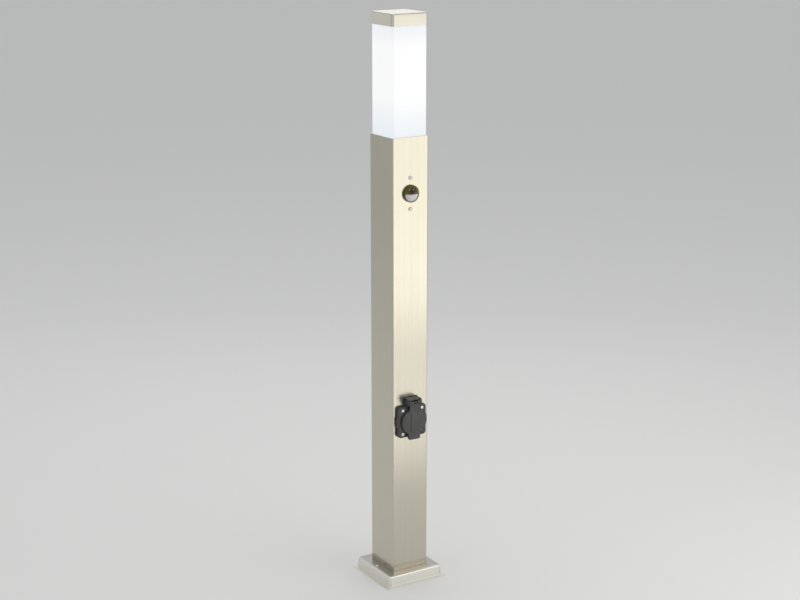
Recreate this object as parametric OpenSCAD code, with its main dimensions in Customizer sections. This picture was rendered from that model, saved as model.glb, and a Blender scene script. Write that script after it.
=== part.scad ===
// Garden socket post: a square stainless post with an opal light head, a motion sensor
// and a flush socket under a sprung lid, standing on a pressed base cover.
// The origin is on the ground under the post's axis. The sensor and the socket face -Y.

/* [Overall] */
// Height from the ground to the top of the cap
total_h = 1100; // [900:5:1400]
// Height of the lit part between the post tube and the cap
light_h = 202; // [160:1:300]

/* [Post tube] */
// Outer width of the square tube
tube_w = 80; // [77:1:92]
// Wall of the tube
tube_t = 2; // [1.5:0.5:3]
// Outer corner radius of the tube
tube_r = 4; // [3.5:0.5:7]
// Distance of the sensor's centre below the top of the tube
sensor_drop = 105.5; // [90:0.5:200]
// Height of the socket's centre
socket_z = 328; // [200:1:450]

/* [Base] */
// Width of the base cover across its upright sides
cover_w = 121; // [118:1:150]
// Height of the base cover
cover_h = 22; // [19:1:36]
// Sheet of the base cover
cover_t = 1.5; // [1:0.5:2]
// Edge and corner radius of the base cover
cover_r = 4; // [3:0.5:6]
// Width of the flange round the base cover
flange_w = 7; // [4:0.5:14]
// Length of the tube below the top of the base cover's sheet
tube_foot = 3; // [2:0.5:5]
// Thickness of the ground plate
plate_t = 4; // [3:0.5:6]
// Distance between neighbouring anchor holes
anchor_pitch = 84; // [80:1:90]
// Diameter of the anchor holes
anchor_d = 9; // [7:0.5:10]
// Diameter of the hole for the supply cable in the grommet
cable_d = 12; // [8:0.5:14]
// Thread diameter of the screws that hold the base cover
cover_screw_d = 4; // [3:0.5:5]

/* [Terminals] */
// Height of the terminal bracket above the ground plate
bracket_h = 92; // [85:1:120]
// Width of the terminal bracket
bracket_w = 32; // [30:1:40]
// Distance between the poles of the terminal block
pole_pitch = 10; // [9:0.5:11]
// Diameter of the lead to the lamp
lamp_lead_d = 6; // [5:0.5:7]
// Diameter of the leads to the sensor and the socket
branch_lead_d = 5; // [4:0.5:6]

/* [Socket] */
// Diameter of the plug well
well_d = 39; // [38.5:0.1:39.5]
// Depth of the plug well
well_depth = 17.5; // [16:0.5:18]
// Wall of the insert round the plug well
insert_wall = 2; // [1.6:0.1:2.4]
// Wall of the socket body round the insert
body_wall = 2.5; // [2:0.1:3]
// Depth of the socket body behind the tube's face
body_depth = 34; // [33:0.5:40]
// Distance between the two plug pins
pin_pitch = 19; // [18.5:0.5:19.5]
// Width of the square flange past the lid on each side
flange_margin = 5; // [4:0.5:6]
// Corner radius of the flange
socket_r = 6.5; // [5:0.5:9]
// Thickness of the flange
socket_flange_t = 7; // [5:0.5:9]
// Width of the round swelling past the flange on each side
swell = 2.25; // [1:0.25:4]
// Distance of the flange screws from the flange's sides
screw_side = 9.8; // [9:0.1:10.5]
// Distance of the flange screws from the flange's top and bottom
screw_end = 7.6; // [7:0.1:8.5]
// Thickness of the gasket behind the flange
gasket_t = 1.5; // [1:0.1:2]

/* [Socket lid] */
// Wall of the lid
lid_wall = 2; // [1.6:0.1:2.4]
// Thickness of the lid
lid_h = 5.5; // [5:0.5:7]
// Width of the raised band down the middle of the lid
band_w = 24; // [20:1:28]
// Width of the finger tab
tab_w = 26; // [20:1:30]
// Length of the finger tab past the lid's edge
tab_l = 9; // [7:0.5:12]
// Width of the hinge block
hinge_w = 31; // [30:0.5:34]
// Distance of the hinge pin above the lid's edge
hinge_rise = 14.5; // [14:0.5:17]
// Distance of the hinge pin in front of the flange
hinge_stand = 8.5; // [8.5:0.5:10]
// Radius of the hinge pin
hinge_pin_r = 1.5; // [1.2:0.1:1.7]
// Radius of the lid's knuckles round the pin
knuckle_r = 4.2; // [3.8:0.1:4.4]
// Wire diameter of the lid spring
wire_d = 0.8; // [0.6:0.1:0.8]
// Turns of the lid spring
spring_turns = 5; // [3:1:5]

/* [Motion sensor] */
// Diameter of the sensor's dark rim
rim_d = 34.6; // [32:0.2:38]
// Distance that the rim stands out of the tube
rim_out = 5; // [3:0.5:7]
// Distance that the lens stands out of the tube
lens_out = 9.5; // [8.5:0.5:12]
// Depth of the sensor housing behind the tube's face
sensor_depth = 30; // [28:0.5:34]
// Distance between the sensor's two screws
sensor_screw_pitch = 59; // [56:0.5:62]
// Thickness of the sensor's circuit board
board_t = 1.6; // [1:0.2:2]

/* [Light head] */
// Wall of the opal diffuser
diffuser_t = 3; // [2:0.5:4]
// Length of the diffuser that stands inside the tube
diffuser_foot = 18; // [16:1:30]
// Height of the cap
cap_h = 23; // [15:1:40]
// Sheet of the cap
cap_t = 1.4; // [1:0.1:1.5]
// Diameter of the lamp's globe
globe_d = 60; // [50:1:64]
// Length of the lamp from its contact to its top
lamp_l = 108; // [104:1:120]
// Diameter of the lamp's screw cap
lamp_cap_d = 26.4; // [26:0.1:26.6]

/* [Hidden] */
$fn = 48;
fit_gap = 0.1; // room round a screw or a pin in its hole
slip_gap = 0.3; // room between pieces that slide together or move past each other

// Heights of the main pieces
tube_top = total_h - cap_h - light_h;
tube_bottom = cover_h - cover_t - tube_foot;
tube_in = tube_w - 2 * tube_t;
tube_in_r = tube_r - tube_t + 0.5;
sensor_z = tube_top - sensor_drop;

// Base
weld_leg = 2.5;
flange_r = 1.5;
cover_screw_x = (tube_w + cover_w) / 4;
cover_screw_l = cover_h - plate_t - 3;
pillar_af = cover_screw_d + 3;
plate_w = cover_w - 2 * cover_t - 6;
plate_r = 6;
grommet_r = cable_d / 2 + 6;
grommet_lip = 2;

// Terminals
bracket_t = 2;
bracket_y = tube_in / 2 - 8; // front face of the bracket's upright
bracket_foot = 11;
rivet_d = 4;
rivet_x = bracket_w / 2 - 6;
rivet_y = bracket_y - bracket_foot / 2;
block_h = 20;
block_d = 12;
block_z = plate_t + bracket_h - block_h - 8;
clamp_z = plate_t + 26;
clamp_h = 8;
clamp_d = 9;
clamp_screw_x = bracket_w / 2 - 4;
small_screw_d = 3; // thread of the screws of the cable clamp and the lamp holder
small_head_d = 5.6;
small_head_h = 1.8;
pole_screw_d = 4;
pole_screw_l = 5;
pole_front = bracket_y - block_d - 3; // front face of the poles

// Leads
lead_y = bracket_y - block_d / 2;
lead_low = block_z + block_h;
lead_lean = 4; // the lamp's lead leans this far off the back wall
lead_sides = 8;

// Socket, in the frame of the tube's front face
insert_d = well_d + 2 * insert_wall;
body_d = insert_d + 2 * body_wall;
collar_d = body_d - 1;
lid_d = collar_d + 2 * lid_wall + 1;
socket_w = lid_d + 2 * flange_margin;
swell_d = socket_w + 2 * swell;
socket_screw_x = socket_w - 2 * screw_side;
socket_screw_y = socket_w - 2 * screw_end;
socket_face = gasket_t + socket_flange_t;
collar_h = 2;
well_rim = socket_face + collar_h;
insert_floor = 5;
well_bottom = well_rim - well_depth;
insert_back = well_bottom - insert_floor;
throat_back = insert_back - 2;
shoulder_d = insert_d - 6;
sleeve_r = 3.1;
sleeve_wall = 0.6;
tower_r = 5;
tower_back = -body_depth + 4;
plug_pin_r = 2.6;
socket_screw_d = 4;
socket_screw_head_d = 7.2;
clip_w = 5;
rib_w = 4.6;
rib_in = 2.4;

// Lid and hinge
lid_low = socket_face + 0.5;
lid_top = lid_low + lid_h;
tab_reach = lid_d / 2 + tab_l;
hinge_up = lid_d / 2 + hinge_rise;
hinge_out = socket_face + hinge_stand;
band_h = 2;
band_top = lid_top + band_h;
strap_front = hinge_out + 0.5;
strap_back = hinge_out - knuckle_r;
ear_t = 4.5;
ear_in = hinge_w / 2 - ear_t;
lid_half = ear_in - slip_gap;
web_front = strap_back - slip_gap;
roof_low = hinge_up + knuckle_r + 0.6;
roof_t = 3;
roof_front = hinge_out + 5;
hinge_top = roof_low + roof_t;
ear_foot = hinge_up - 7.5;
spring_half = 4.6;
coil_r = hinge_pin_r + wire_d / 2 + 0.55;
coil_reach = spring_half - wire_d - 0.6;
spring_leg = 8;
steps_per_turn = 8;
pocket_floor = 1;
knuckle_room = 20;
socket_head_h = 2.2;

// Sensor, in the frame of the tube's front face
rim_r = rim_d / 2;
rim_wall = 1.9;
lens_seat = -4;
inner_wall = 3.3;
ear_plate_t = 3;
ear_plate_w = 15;
ear_gasket_t = 0.8;
ear_plate_z = -tube_t - ear_gasket_t;
lens_base = rim_out - 1;
lens_base_r = rim_r - rim_wall - 0.8;
lens_rise = lens_out - lens_base;
lens_r = (pow(lens_base_r, 2) + pow(lens_rise, 2)) / (2 * lens_rise);
lens_centre = lens_out - lens_r;
lens_wall = 1.2;
hood_gap = 0.3;
hood_wall = 1.3;
hood_edge = -1.5;
window_d = 2.6;
windows = [[-7.5, 6.5], [0, 6.5]];
board_z = -sensor_depth + 16;
sensor_screw_d = 4;
sensor_screw_l = 9;
sensor_head_d = 8;
sensor_head_h = 2.4;
screw_boss_d = 9;
lens_skirt_r = rim_r - rim_wall - 0.2;
can_floor = 2;
detector_d = 8.2;
detector_h = 4.2;
relay_size = [18, 10, 10];

// Light head
deck_t = 2;
seal_t = 2;
deck_z = tube_top - diffuser_foot - seal_t - deck_t;
deck_top = deck_z + deck_t;
deck_skirt = 12;
deck_w = tube_in - 0.4;
foot_gap = 1; // room round the diffuser's foot in the tube
diffuser_w = tube_in - 2 * foot_gap;
diffuser_bottom = deck_top + seal_t;
cap_w = diffuser_w + 2 * slip_gap + 2 * cap_t - 0.2;
cap_bottom = total_h - cap_h;
cap_r = 3;
cap_seal_inset = cap_r - cap_t;
diffuser_top = total_h - cap_t - seal_t;
diffuser_r = tube_in_r + 0.5;
diffuser_in = diffuser_w - 2 * diffuser_t;
tab_half = tube_in / 2 - 10;
tab_t = 1.5;
head_screw_x = 20;
head_screw_z = tube_top - 9;
head_screw_d = 4;
head_screw_head_d = 7.6;
head_screw_head_h = 2.2;
holder_foot = 10;
holder_floor = 8;
shell_eye_d = 16;
tongue_w = 6;
tongue_t = 0.6;
thread_pitch = 3.4;
holder_h = 46;
holder_d = 40;
holder_screw_y = 14;
lamp_z = deck_top + 12;
lamp_cap_h = 26;
globe_z = lamp_z + lamp_l - globe_d / 2;
globe_t = 1.2;
globe_cut = 12; // the globe ends this far below its centre

// A square with round corners
module rounded_square(w, r) {
    square([w, w - 2 * r], center = true);
    square([w - 2 * r, w], center = true);
    for (x = [-1, 1], y = [-1, 1])
        translate([x * (w / 2 - r), y * (w / 2 - r)]) circle(r = r);
}

// A square frame with round corners
module square_ring(w, r, t) {
    difference() {
        rounded_square(w, r);
        rounded_square(w - 2 * t, max(r - t, 0.5));
    }
}

// A profile swept round a square: x is the distance out from the corner centres, y the height
module sweep_square(reach) {
    for (a = [0:90:270]) rotate([0, 0, a]) translate([reach, reach, 0]) {
        rotate_extrude(angle = 90) children();
        rotate([90, 0, 0]) linear_extrude(2 * reach) children();
    }
}

// Profile of a folded edge
module quarter_ring(r, t) {
    intersection() {
        difference() {
            circle(r = r);
            circle(r = r - t);
        }
        square(r + 1);
    }
}

// The frame of the tube's front face: x across, y up, z out of the wall
module on_front(z) {
    translate([0, -tube_w / 2, z]) rotate([90, 0, 0]) children();
}

// A rod along x, centred
module cross_rod(r, l) {
    rotate([0, 90, 0]) cylinder(r = r, h = l, center = true);
}

// A pan head screw whose head sits on z = 0, with a cross recess
module pan_screw(d, l, head_d, head_h) {
    difference() {
        union() {
            rotate_extrude() polygon([
                [0, 0], [head_d / 2, 0], [head_d / 2, head_h * 0.45],
                [head_d * 0.42, head_h * 0.8], [head_d * 0.28, head_h], [0, head_h]
            ]);
            translate([0, 0, -l]) cylinder(d = d, h = l + head_h / 4);
        }
        for (a = [0, 90]) rotate([0, 0, a])
            translate([0, 0, head_h]) cube([head_d * 0.55, head_d * 0.13, head_h], center = true);
    }
}

// Points of a curve from one straight run into the next
function bend(a, b, c, n = 6) =
    [for (i = [0:n]) let (t = i / n) (1 - t) * (1 - t) * a + 2 * t * (1 - t) * b + t * t * c];

// Points of a lead that sways from one upright run into another
function sway(a, b, n = 8) =
    [for (i = [0:n]) let (t = i / n, e = t * t * (3 - 2 * t))
        [a[0] + e * (b[0] - a[0]), a[1] + e * (b[1] - a[1]), a[2] + t * (b[2] - a[2])]];

function unit(v) = v / norm(v);

// Direction of a route at its point i
function heading(p, i) =
    unit(p[min(i + 1, len(p) - 1)] - p[max(i - 1, 0)]);

// A closed tube swept along a route; side is a direction that the route never follows
module swept_tube(p, d, sides, side) {
    n = len(p);
    rings = [for (i = [0:n - 1])
        let (t = heading(p, i), u = unit(side - (side * t) * t), v = cross(t, u))
            for (k = [0:sides - 1])
                p[i] + d / 2 * (cos(360 * k / sides) * u + sin(360 * k / sides) * v)];
    walls = [for (i = [0:n - 2], k = [0:sides - 1])
        let (a = i * sides + k, b = i * sides + (k + 1) % sides)
            each [[a, a + sides, b + sides], [a, b + sides, b]]];
    ends = [for (k = [1:sides - 2]) each [
        [0, k, k + 1],
        [(n - 1) * sides, (n - 1) * sides + k + 1, (n - 1) * sides + k]]];
    polyhedron(points = rings, faces = concat(walls, ends), convexity = 6);
}

// Steel plate that is anchored to the ground
module ground_plate() {
    color("darkgray") difference() {
        linear_extrude(plate_t) rounded_square(plate_w, plate_r);
        translate([0, 0, -1]) {
            cylinder(r = grommet_r, h = plate_t + 2);
            for (x = [-1, 1], y = [-1, 1])
                translate([x * anchor_pitch / 2, y * anchor_pitch / 2, 0])
                    cylinder(d = anchor_d, h = plate_t + 2);
            for (x = [-1, 1]) translate([x * rivet_x, rivet_y, 0])
                cylinder(d = rivet_d + 2 * fit_gap, h = plate_t + 2);
        }
    }
}

// Rubber ring that lines the hole for the supply cable
module cable_grommet() {
    color("black") difference() {
        union() {
            cylinder(r = grommet_r - fit_gap, h = plate_t);
            translate([0, 0, plate_t]) cylinder(r = grommet_r + 2, h = grommet_lip);
        }
        translate([0, 0, -1]) cylinder(d = cable_d, h = plate_t + grommet_lip + 2);
    }
}

// Hexagon pillars that take the base cover's screws
module cover_pillars() {
    color("silver") for (x = [-1, 1]) translate([x * cover_screw_x, 0, plate_t]) difference() {
        cylinder(d = pillar_af / cos(30), h = cover_h - cover_t - plate_t, $fn = 6);
        translate([0, 0, -1]) cylinder(d = cover_screw_d + 2 * fit_gap, h = cover_h);
    }
}

// Pressed stainless cover with a flat flange
module base_cover() {
    reach = cover_w / 2 - cover_r;
    color("gainsboro") difference() {
        union() {
            sweep_square(reach) {
                translate([cover_r - cover_t, 0]) square([cover_t, cover_h - cover_r]);
                translate([0, cover_h - cover_r]) quarter_ring(cover_r, cover_t);
            }
            translate([-reach, -reach, cover_h - cover_t])
                cube([2 * reach, 2 * reach, cover_t]);
            linear_extrude(cover_t) difference() {
                rounded_square(cover_w + 2 * flange_w, flange_r);
                rounded_square(cover_w - cover_t, cover_r - cover_t / 2);
            }
        }
        translate([0, 0, cover_h / 2]) {
            linear_extrude(cover_h) rounded_square(tube_w + 2 * fit_gap, tube_r + fit_gap);
            for (x = [-1, 1]) translate([x * cover_screw_x, 0, 0])
                cylinder(d = cover_screw_d + 4 * fit_gap, h = cover_h);
        }
    }
}

// Screws that hold the base cover down on the pillars
module cover_screws() {
    color("silver") for (x = [-1, 1]) translate([x * cover_screw_x, 0, cover_h])
        pan_screw(cover_screw_d, cover_screw_l, cover_screw_d * 1.9, cover_screw_d * 0.5);
}

// Weld bead round the tube under the base cover
module foot_weld() {
    color("dimgray") translate([0, 0, cover_h - cover_t]) sweep_square(tube_w / 2 - tube_r)
        polygon([[tube_r, 0], [tube_r + weld_leg, 0], [tube_r, -weld_leg]]);
}

// Folded bracket that carries the terminals inside the post
module terminal_bracket() {
    color("lightgray") difference() {
        union() {
            translate([-bracket_w / 2, bracket_y, plate_t])
                cube([bracket_w, bracket_t, bracket_h]);
            translate([-bracket_w / 2, bracket_y - bracket_foot, plate_t])
                cube([bracket_w, bracket_foot + 1, bracket_t]);
        }
        for (x = [-1, 1]) {
            translate([x * rivet_x, rivet_y, plate_t - 1])
                cylinder(d = rivet_d + 2 * fit_gap, h = bracket_t + 2);
            translate([x * clamp_screw_x, bracket_y - 1, clamp_z + clamp_h / 2])
                rotate([-90, 0, 0]) cylinder(d = small_screw_d + 2 * fit_gap, h = bracket_t + 2);
        }
    }
}

// Rivets that hold the bracket to the ground plate
module bracket_rivets() {
    color("silver") for (x = [-1, 1]) translate([x * rivet_x, rivet_y, 0]) {
        translate([0, 0, 0.5]) cylinder(d = rivet_d, h = plate_t + bracket_t - 0.4);
        translate([0, 0, plate_t + bracket_t]) cylinder(d = rivet_d * 1.8, h = 1.2);
    }
}

// Terminal block with three poles
module terminal_block() {
    color("ivory") difference() {
        union() {
            translate([-1.5 * pole_pitch, bracket_y - block_d, block_z])
                cube([3 * pole_pitch, block_d, block_h]);
            for (i = [-1:1]) translate([(i - 0.35) * pole_pitch, pole_front, block_z + 1])
                cube([pole_pitch * 0.7, block_d / 2, block_h - 2]);
        }
        for (i = [-1:1], z = [0.25, 0.75])
            translate([i * pole_pitch, pole_front - 1, block_z + z * block_h])
                rotate([-90, 0, 0]) cylinder(d = pole_screw_d, h = pole_screw_l + 3);
        for (i = [-1:1]) translate([i * pole_pitch, bracket_y - block_d / 2, block_z - 1])
            cylinder(d = 3.4, h = 8);
    }
}

// Clamping screws in the terminal block
module terminal_screws() {
    color("gold") for (i = [-1:1], z = [0.25, 0.75])
        translate([i * pole_pitch, pole_front + 2, block_z + z * block_h])
            rotate([-90, 0, 0]) difference() {
                cylinder(d = pole_screw_d - 2 * fit_gap, h = pole_screw_l);
                cube([pole_screw_d + 1, 0.7, 1.4], center = true);
            }
}

// Saddle that grips the supply cable against the bracket
module cable_clamp() {
    color("ivory") translate([0, bracket_y, clamp_z]) difference() {
        translate([-bracket_w / 2, -clamp_d, 0]) cube([bracket_w, clamp_d, clamp_h]);
        translate([0, 0, -1]) cylinder(d = min(cable_d, 2 * clamp_d - 5), h = clamp_h + 2);
        for (x = [-1, 1]) translate([x * clamp_screw_x, -clamp_d - 1, clamp_h / 2])
            rotate([-90, 0, 0]) cylinder(d = small_screw_d + 2 * fit_gap, h = clamp_d + 2);
    }
}

// Screws through the saddle into the bracket
module clamp_screws() {
    color("silver") for (x = [-1, 1])
        translate([x * clamp_screw_x, bracket_y - clamp_d, clamp_z + clamp_h / 2])
            rotate([90, 0, 0])
                pan_screw(small_screw_d, clamp_d + bracket_t, small_head_d, small_head_h);
}

// Lead from the terminal block up the back of the post to the lamp deck
module lamp_lead() {
    leaned = lead_y - lead_lean;
    color("dimgray") swept_tube(concat(
        [[0, lead_y, lead_low]],
        sway([0, lead_y, lead_low + 10], [0, leaned, lead_low + 50]),
        sway([0, leaned, deck_z - 90], [0, 0, deck_z - 20]),
        [[0, 0, deck_top]]), lamp_lead_d, lead_sides, [1, 0, 0]);
}

// Lead from the terminal block to a hole in the back of the socket or the sensor
module branch_lead(side, z, depth) {
    x = side * pole_pitch;
    back = -tube_w / 2 + depth;
    turn = 1.5 * (lead_y - back); // height of the bend into the hole
    color("dimgray") swept_tube(concat(
        [[x, lead_y, lead_low]],
        bend([x, lead_y, z - turn], [x, lead_y, z], [x / 2, (lead_y + back) / 2, z]),
        [[0, back + 6, z], [0, back, z]]), branch_lead_d, lead_sides, [1, 0, 0.2]);
}

module sensor_lead() {
    branch_lead(1, sensor_z, sensor_depth);
}

module socket_lead() {
    branch_lead(-1, socket_z, body_depth);
}

// Square stainless tube with the holes for the socket, the sensor and the light head
module post_tube() {
    color("silver") difference() {
        translate([0, 0, tube_bottom]) linear_extrude(tube_top - tube_bottom) difference() {
            rounded_square(tube_w, tube_r);
            rounded_square(tube_in, tube_in_r);
        }
        on_front(socket_z) translate([0, 0, -2 * tube_t]) {
            cylinder(d = body_d + 2 * slip_gap, h = 3 * tube_t);
            for (x = [-1, 1], y = [-1, 1])
                translate([x * socket_screw_x / 2, y * socket_screw_y / 2, 0])
                    cylinder(d = socket_screw_d + 2 * fit_gap, h = 3 * tube_t);
        }
        on_front(sensor_z) translate([0, 0, -2 * tube_t]) {
            cylinder(r = rim_r + slip_gap, h = 3 * tube_t);
            for (y = [-1, 1]) translate([0, y * sensor_screw_pitch / 2, 0])
                cylinder(d = sensor_screw_d + 2 * fit_gap, h = 3 * tube_t);
        }
        for (x = [-1, 1]) translate([x * head_screw_x, tube_w / 2 - 2 * tube_t, head_screw_z])
            rotate([-90, 0, 0]) cylinder(d = head_screw_d + 2 * fit_gap, h = 3 * tube_t);
    }
}

// Outline of the socket's flange with the foot of its hinge block
module socket_outline(inset) {
    rounded_square(socket_w - 2 * inset, socket_r - inset);
    circle(d = swell_d - 2 * inset);
    translate([-hinge_w / 2 + inset, 0]) square([hinge_w - 2 * inset, hinge_top - inset]);
}

// Foam gasket between the socket's flange and the tube
module socket_gasket() {
    color("black") on_front(socket_z) difference() {
        linear_extrude(gasket_t) difference() {
            socket_outline(0.6);
            circle(d = body_d + 2 * slip_gap);
        }
        for (x = [-1, 1], y = [-1, 1])
            translate([x * socket_screw_x / 2, y * socket_screw_y / 2, -1])
                cylinder(d = socket_screw_d + 2 * fit_gap, h = gasket_t + 2);
    }
}

// Ears and roof round the hinge, seen from the side: x is up the wall, y out of it
module hinge_side() {
    polygon([
        [ear_foot, socket_face - 1], [ear_foot, hinge_out - 3], [hinge_up - 4, roof_front - 0.5],
        [hinge_top - 1, roof_front], [hinge_top, roof_front - 1], [hinge_top, socket_face - 1]
    ]);
}

// Moulded socket front with its flange, collar, throat and hinge block
module socket_housing() {
    color("dimgray") on_front(socket_z) difference() {
        union() {
            translate([0, 0, gasket_t]) linear_extrude(socket_flange_t) socket_outline(0);
            cylinder(d = collar_d, h = well_rim);
            translate([0, 0, throat_back]) cylinder(d = body_d, h = gasket_t + 1 - throat_back);
            translate([-hinge_w / 2, 0, 0]) rotate([90, 0, 90]) linear_extrude(hinge_w)
                hinge_side();
        }
        translate([0, 0, throat_back - 1]) cylinder(d = insert_d + 2 * fit_gap, h = body_depth * 2);
        for (x = [-1, 1], y = [-1, 1])
            translate([x * socket_screw_x / 2, y * socket_screw_y / 2, 0]) {
                cylinder(d = socket_screw_d + 2 * fit_gap, h = well_rim);
                translate([0, 0, socket_face - 1])
                    cylinder(d = socket_screw_head_d + 6 * fit_gap, h = well_rim);
            }
        // room for the lid's knuckles between the ears
        translate([-ear_in, ear_foot - knuckle_room, web_front])
            cube([2 * ear_in, roof_low - ear_foot + knuckle_room, knuckle_room]);
        translate([0, hinge_up, hinge_out]) cross_rod(hinge_pin_r + 0.02, hinge_w + 2);
    }
}

// Cup behind the throat, with a spigot in it and a hole for the lead
module socket_cup() {
    color("black") on_front(socket_z) difference() {
        union() {
            translate([0, 0, -body_depth]) cylinder(d = body_d, h = body_depth + throat_back);
            translate([0, 0, throat_back - 1]) cylinder(d = insert_d, h = insert_back - throat_back + 1);
        }
        translate([0, 0, -body_depth + 2]) cylinder(d = shoulder_d, h = body_depth);
        translate([0, 0, -body_depth - 1]) cylinder(d = branch_lead_d - 1, h = 4);
    }
}

// Moulded insert with the plug well, its guide ribs and the towers for the sleeves
module socket_insert() {
    color("black") on_front(socket_z) difference() {
        union() {
            difference() {
                translate([0, 0, insert_back]) cylinder(d = insert_d, h = well_rim - insert_back);
                translate([0, 0, well_bottom]) cylinder(d = well_d, h = well_depth + 1);
            }
            for (m = [0, 1]) mirror([m, 0, 0]) {
                translate([well_d / 2 - rib_in, -rib_w / 2, well_bottom - 1])
                    cube([rib_in + 0.8, rib_w, well_depth]);
                translate([pin_pitch / 2, 0, tower_back])
                    cylinder(r = tower_r, h = insert_back - tower_back + 1);
            }
        }
        for (x = [-1, 1]) translate([x * pin_pitch / 2, 0, 0]) {
            translate([0, 0, tower_back - 1]) cylinder(r = plug_pin_r, h = body_depth);
            translate([0, 0, tower_back - 1])
                cylinder(r = sleeve_r + fit_gap, h = well_bottom - 2 - tower_back + 1);
        }
        for (y = [-1, 1])
            translate([-clip_w / 2 - fit_gap, y * (well_d / 2 - 1) - 1.9, well_bottom - 3])
                cube([clip_w + 2 * fit_gap, 3.8, well_depth + 4]);
    }
}

// Brass sleeves that receive the plug's pins
module contact_sleeves() {
    color("gold") on_front(socket_z) for (x = [-1, 1])
        translate([x * pin_pitch / 2, 0, tower_back + 1]) difference() {
            cylinder(r = sleeve_r, h = well_bottom - 2 - tower_back - 1);
            translate([0, 0, 2]) cylinder(r = sleeve_r - sleeve_wall, h = body_depth);
        }
}

// Sprung earth contacts at the top and the bottom of the well
module earth_clips() {
    r = well_d / 2;
    color("silver") on_front(socket_z) for (m = [0, 1]) mirror([0, m, 0])
        translate([-clip_w / 2, 0, 0]) rotate([90, 0, 90]) linear_extrude(clip_w) polygon([
            [r + 0.8, well_bottom - 3], [r + 0.8, well_bottom + 2], [r - 1.6, well_bottom + 8],
            [r - 1.6, well_bottom + 10], [r + 0.5, well_rim - 2], [r - 0.3, well_rim - 1.8],
            [r - 2.4, well_bottom + 10.2], [r - 2.4, well_bottom + 7.8],
            [r, well_bottom + 1.8], [r, well_bottom - 3]
        ]);
}

// Four screws that hold the socket to the tube
module socket_screws() {
    color("white") on_front(socket_z) for (x = [-1, 1], y = [-1, 1])
        translate([x * socket_screw_x / 2, y * socket_screw_y / 2, socket_face - 1])
            pan_screw(socket_screw_d, socket_face + tube_t + 4, socket_screw_head_d, socket_head_h);
}

// Hinged lid with its raised band, finger tab and knuckles
module socket_lid() {
    r = lid_d / 2;
    color("dimgray") on_front(socket_z) difference() {
        union() {
            rotate_extrude() polygon([
                [0, lid_low], [r, lid_low], [r, lid_top - 1.6], [r - 0.5, lid_top - 0.6],
                [r - 1.6, lid_top], [0, lid_top]
            ]);
            intersection() {
                translate([-band_w / 2, -r, lid_top - 1]) cube([band_w, 2 * r, band_h + 1]);
                translate([0, 0, lid_low]) cylinder(r = r - 0.5, h = lid_h + band_h);
            }
            translate([-tab_w / 2, 0, 0]) rotate([90, 0, 90]) linear_extrude(tab_w) polygon([
                [-r + 5, lid_low + 1.5], [-tab_reach + 1, lid_low + 2],
                [-tab_reach, lid_low + 3], [-tab_reach + 0.5, band_top + 0.5],
                [-tab_reach + 2, band_top + 1], [-r + 4, band_top], [-r + 5, band_top - 1]
            ]);
            translate([-lid_half, r - 6, strap_back])
                cube([2 * lid_half, hinge_up - r + 6, strap_front - strap_back]);
            translate([0, hinge_up, hinge_out]) cross_rod(knuckle_r, 2 * lid_half);
        }
        translate([0, 0, lid_low - 1]) cylinder(r = r - lid_wall, h = lid_h - lid_wall + 1);
        translate([0, hinge_up, hinge_out]) cross_rod(hinge_pin_r + 0.08, 2 * lid_half + 2);
        // window for the coil, and the pocket that its lower leg pushes in
        translate([-spring_half, hinge_up - coil_r - 1, strap_back - 1])
            cube([2 * spring_half, 2 * knuckle_r + 4, 2 * knuckle_r + 2]);
        translate([-spring_half, hinge_up - spring_leg - 1, strap_back + pocket_floor])
            cube([2 * spring_half, spring_leg, strap_front - strap_back - pocket_floor - 1.5]);
    }
}

// Rubber ring inside the lid that closes on the collar
module lid_seal() {
    color("black") on_front(socket_z) difference() {
        translate([0, 0, well_rim + slip_gap])
            cylinder(r = collar_d / 2 - 0.5, h = lid_top - lid_wall - well_rim - slip_gap);
        translate([0, 0, well_rim]) cylinder(r = well_d / 2 + 0.5, h = lid_h);
    }
}

// Steel pin that the lid turns on
module hinge_pin() {
    color("silver") on_front(socket_z) translate([0, hinge_up, hinge_out])
        cross_rod(hinge_pin_r, hinge_w - 0.6);
}

// Route of the spring wire: lower leg in the lid, coil round the pin, upper leg on the block
coil_pitch = 2 * coil_reach / spring_turns;
spring_route = concat(
    [[coil_reach, hinge_up - spring_leg, hinge_out - coil_r]],
    [for (i = [0:spring_turns * steps_per_turn]) let (a = 360 * i / steps_per_turn)
        [coil_reach - coil_pitch * i / steps_per_turn,
            hinge_up + coil_r * sin(a), hinge_out - coil_r * cos(a)]],
    [[-coil_reach, roof_low - 1.2, web_front + wire_d / 2 + 0.1]]);
spring_gap = min([for (i = [0:len(spring_route) - 1], j = [i + steps_per_turn - 1:len(spring_route) - 1])
    if (j < len(spring_route)) norm(spring_route[i] - spring_route[j])]) - wire_d;
echo(least_gap_of_the_lid_spring = spring_gap);

// Torsion spring that shuts the lid
module lid_spring() {
    color("silver") on_front(socket_z) swept_tube(spring_route, wire_d, 6, [1, 0, 0]);
}

// Plate of the sensor housing behind the tube's wall
module sensor_outline() {
    circle(r = rim_r + 2.5);
    square([ear_plate_w, sensor_screw_pitch], center = true);
    for (y = [-1, 1]) translate([0, y * sensor_screw_pitch / 2]) circle(d = ear_plate_w);
}

// Gasket between the sensor housing and the inside of the tube
module sensor_gasket() {
    color("black") on_front(sensor_z) translate([0, 0, ear_plate_z]) linear_extrude(ear_gasket_t)
        difference() {
            sensor_outline();
            circle(r = rim_r + slip_gap);
            for (y = [-1, 1]) translate([0, y * sensor_screw_pitch / 2])
                circle(d = sensor_screw_d + 2 * fit_gap);
        }
}

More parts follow.
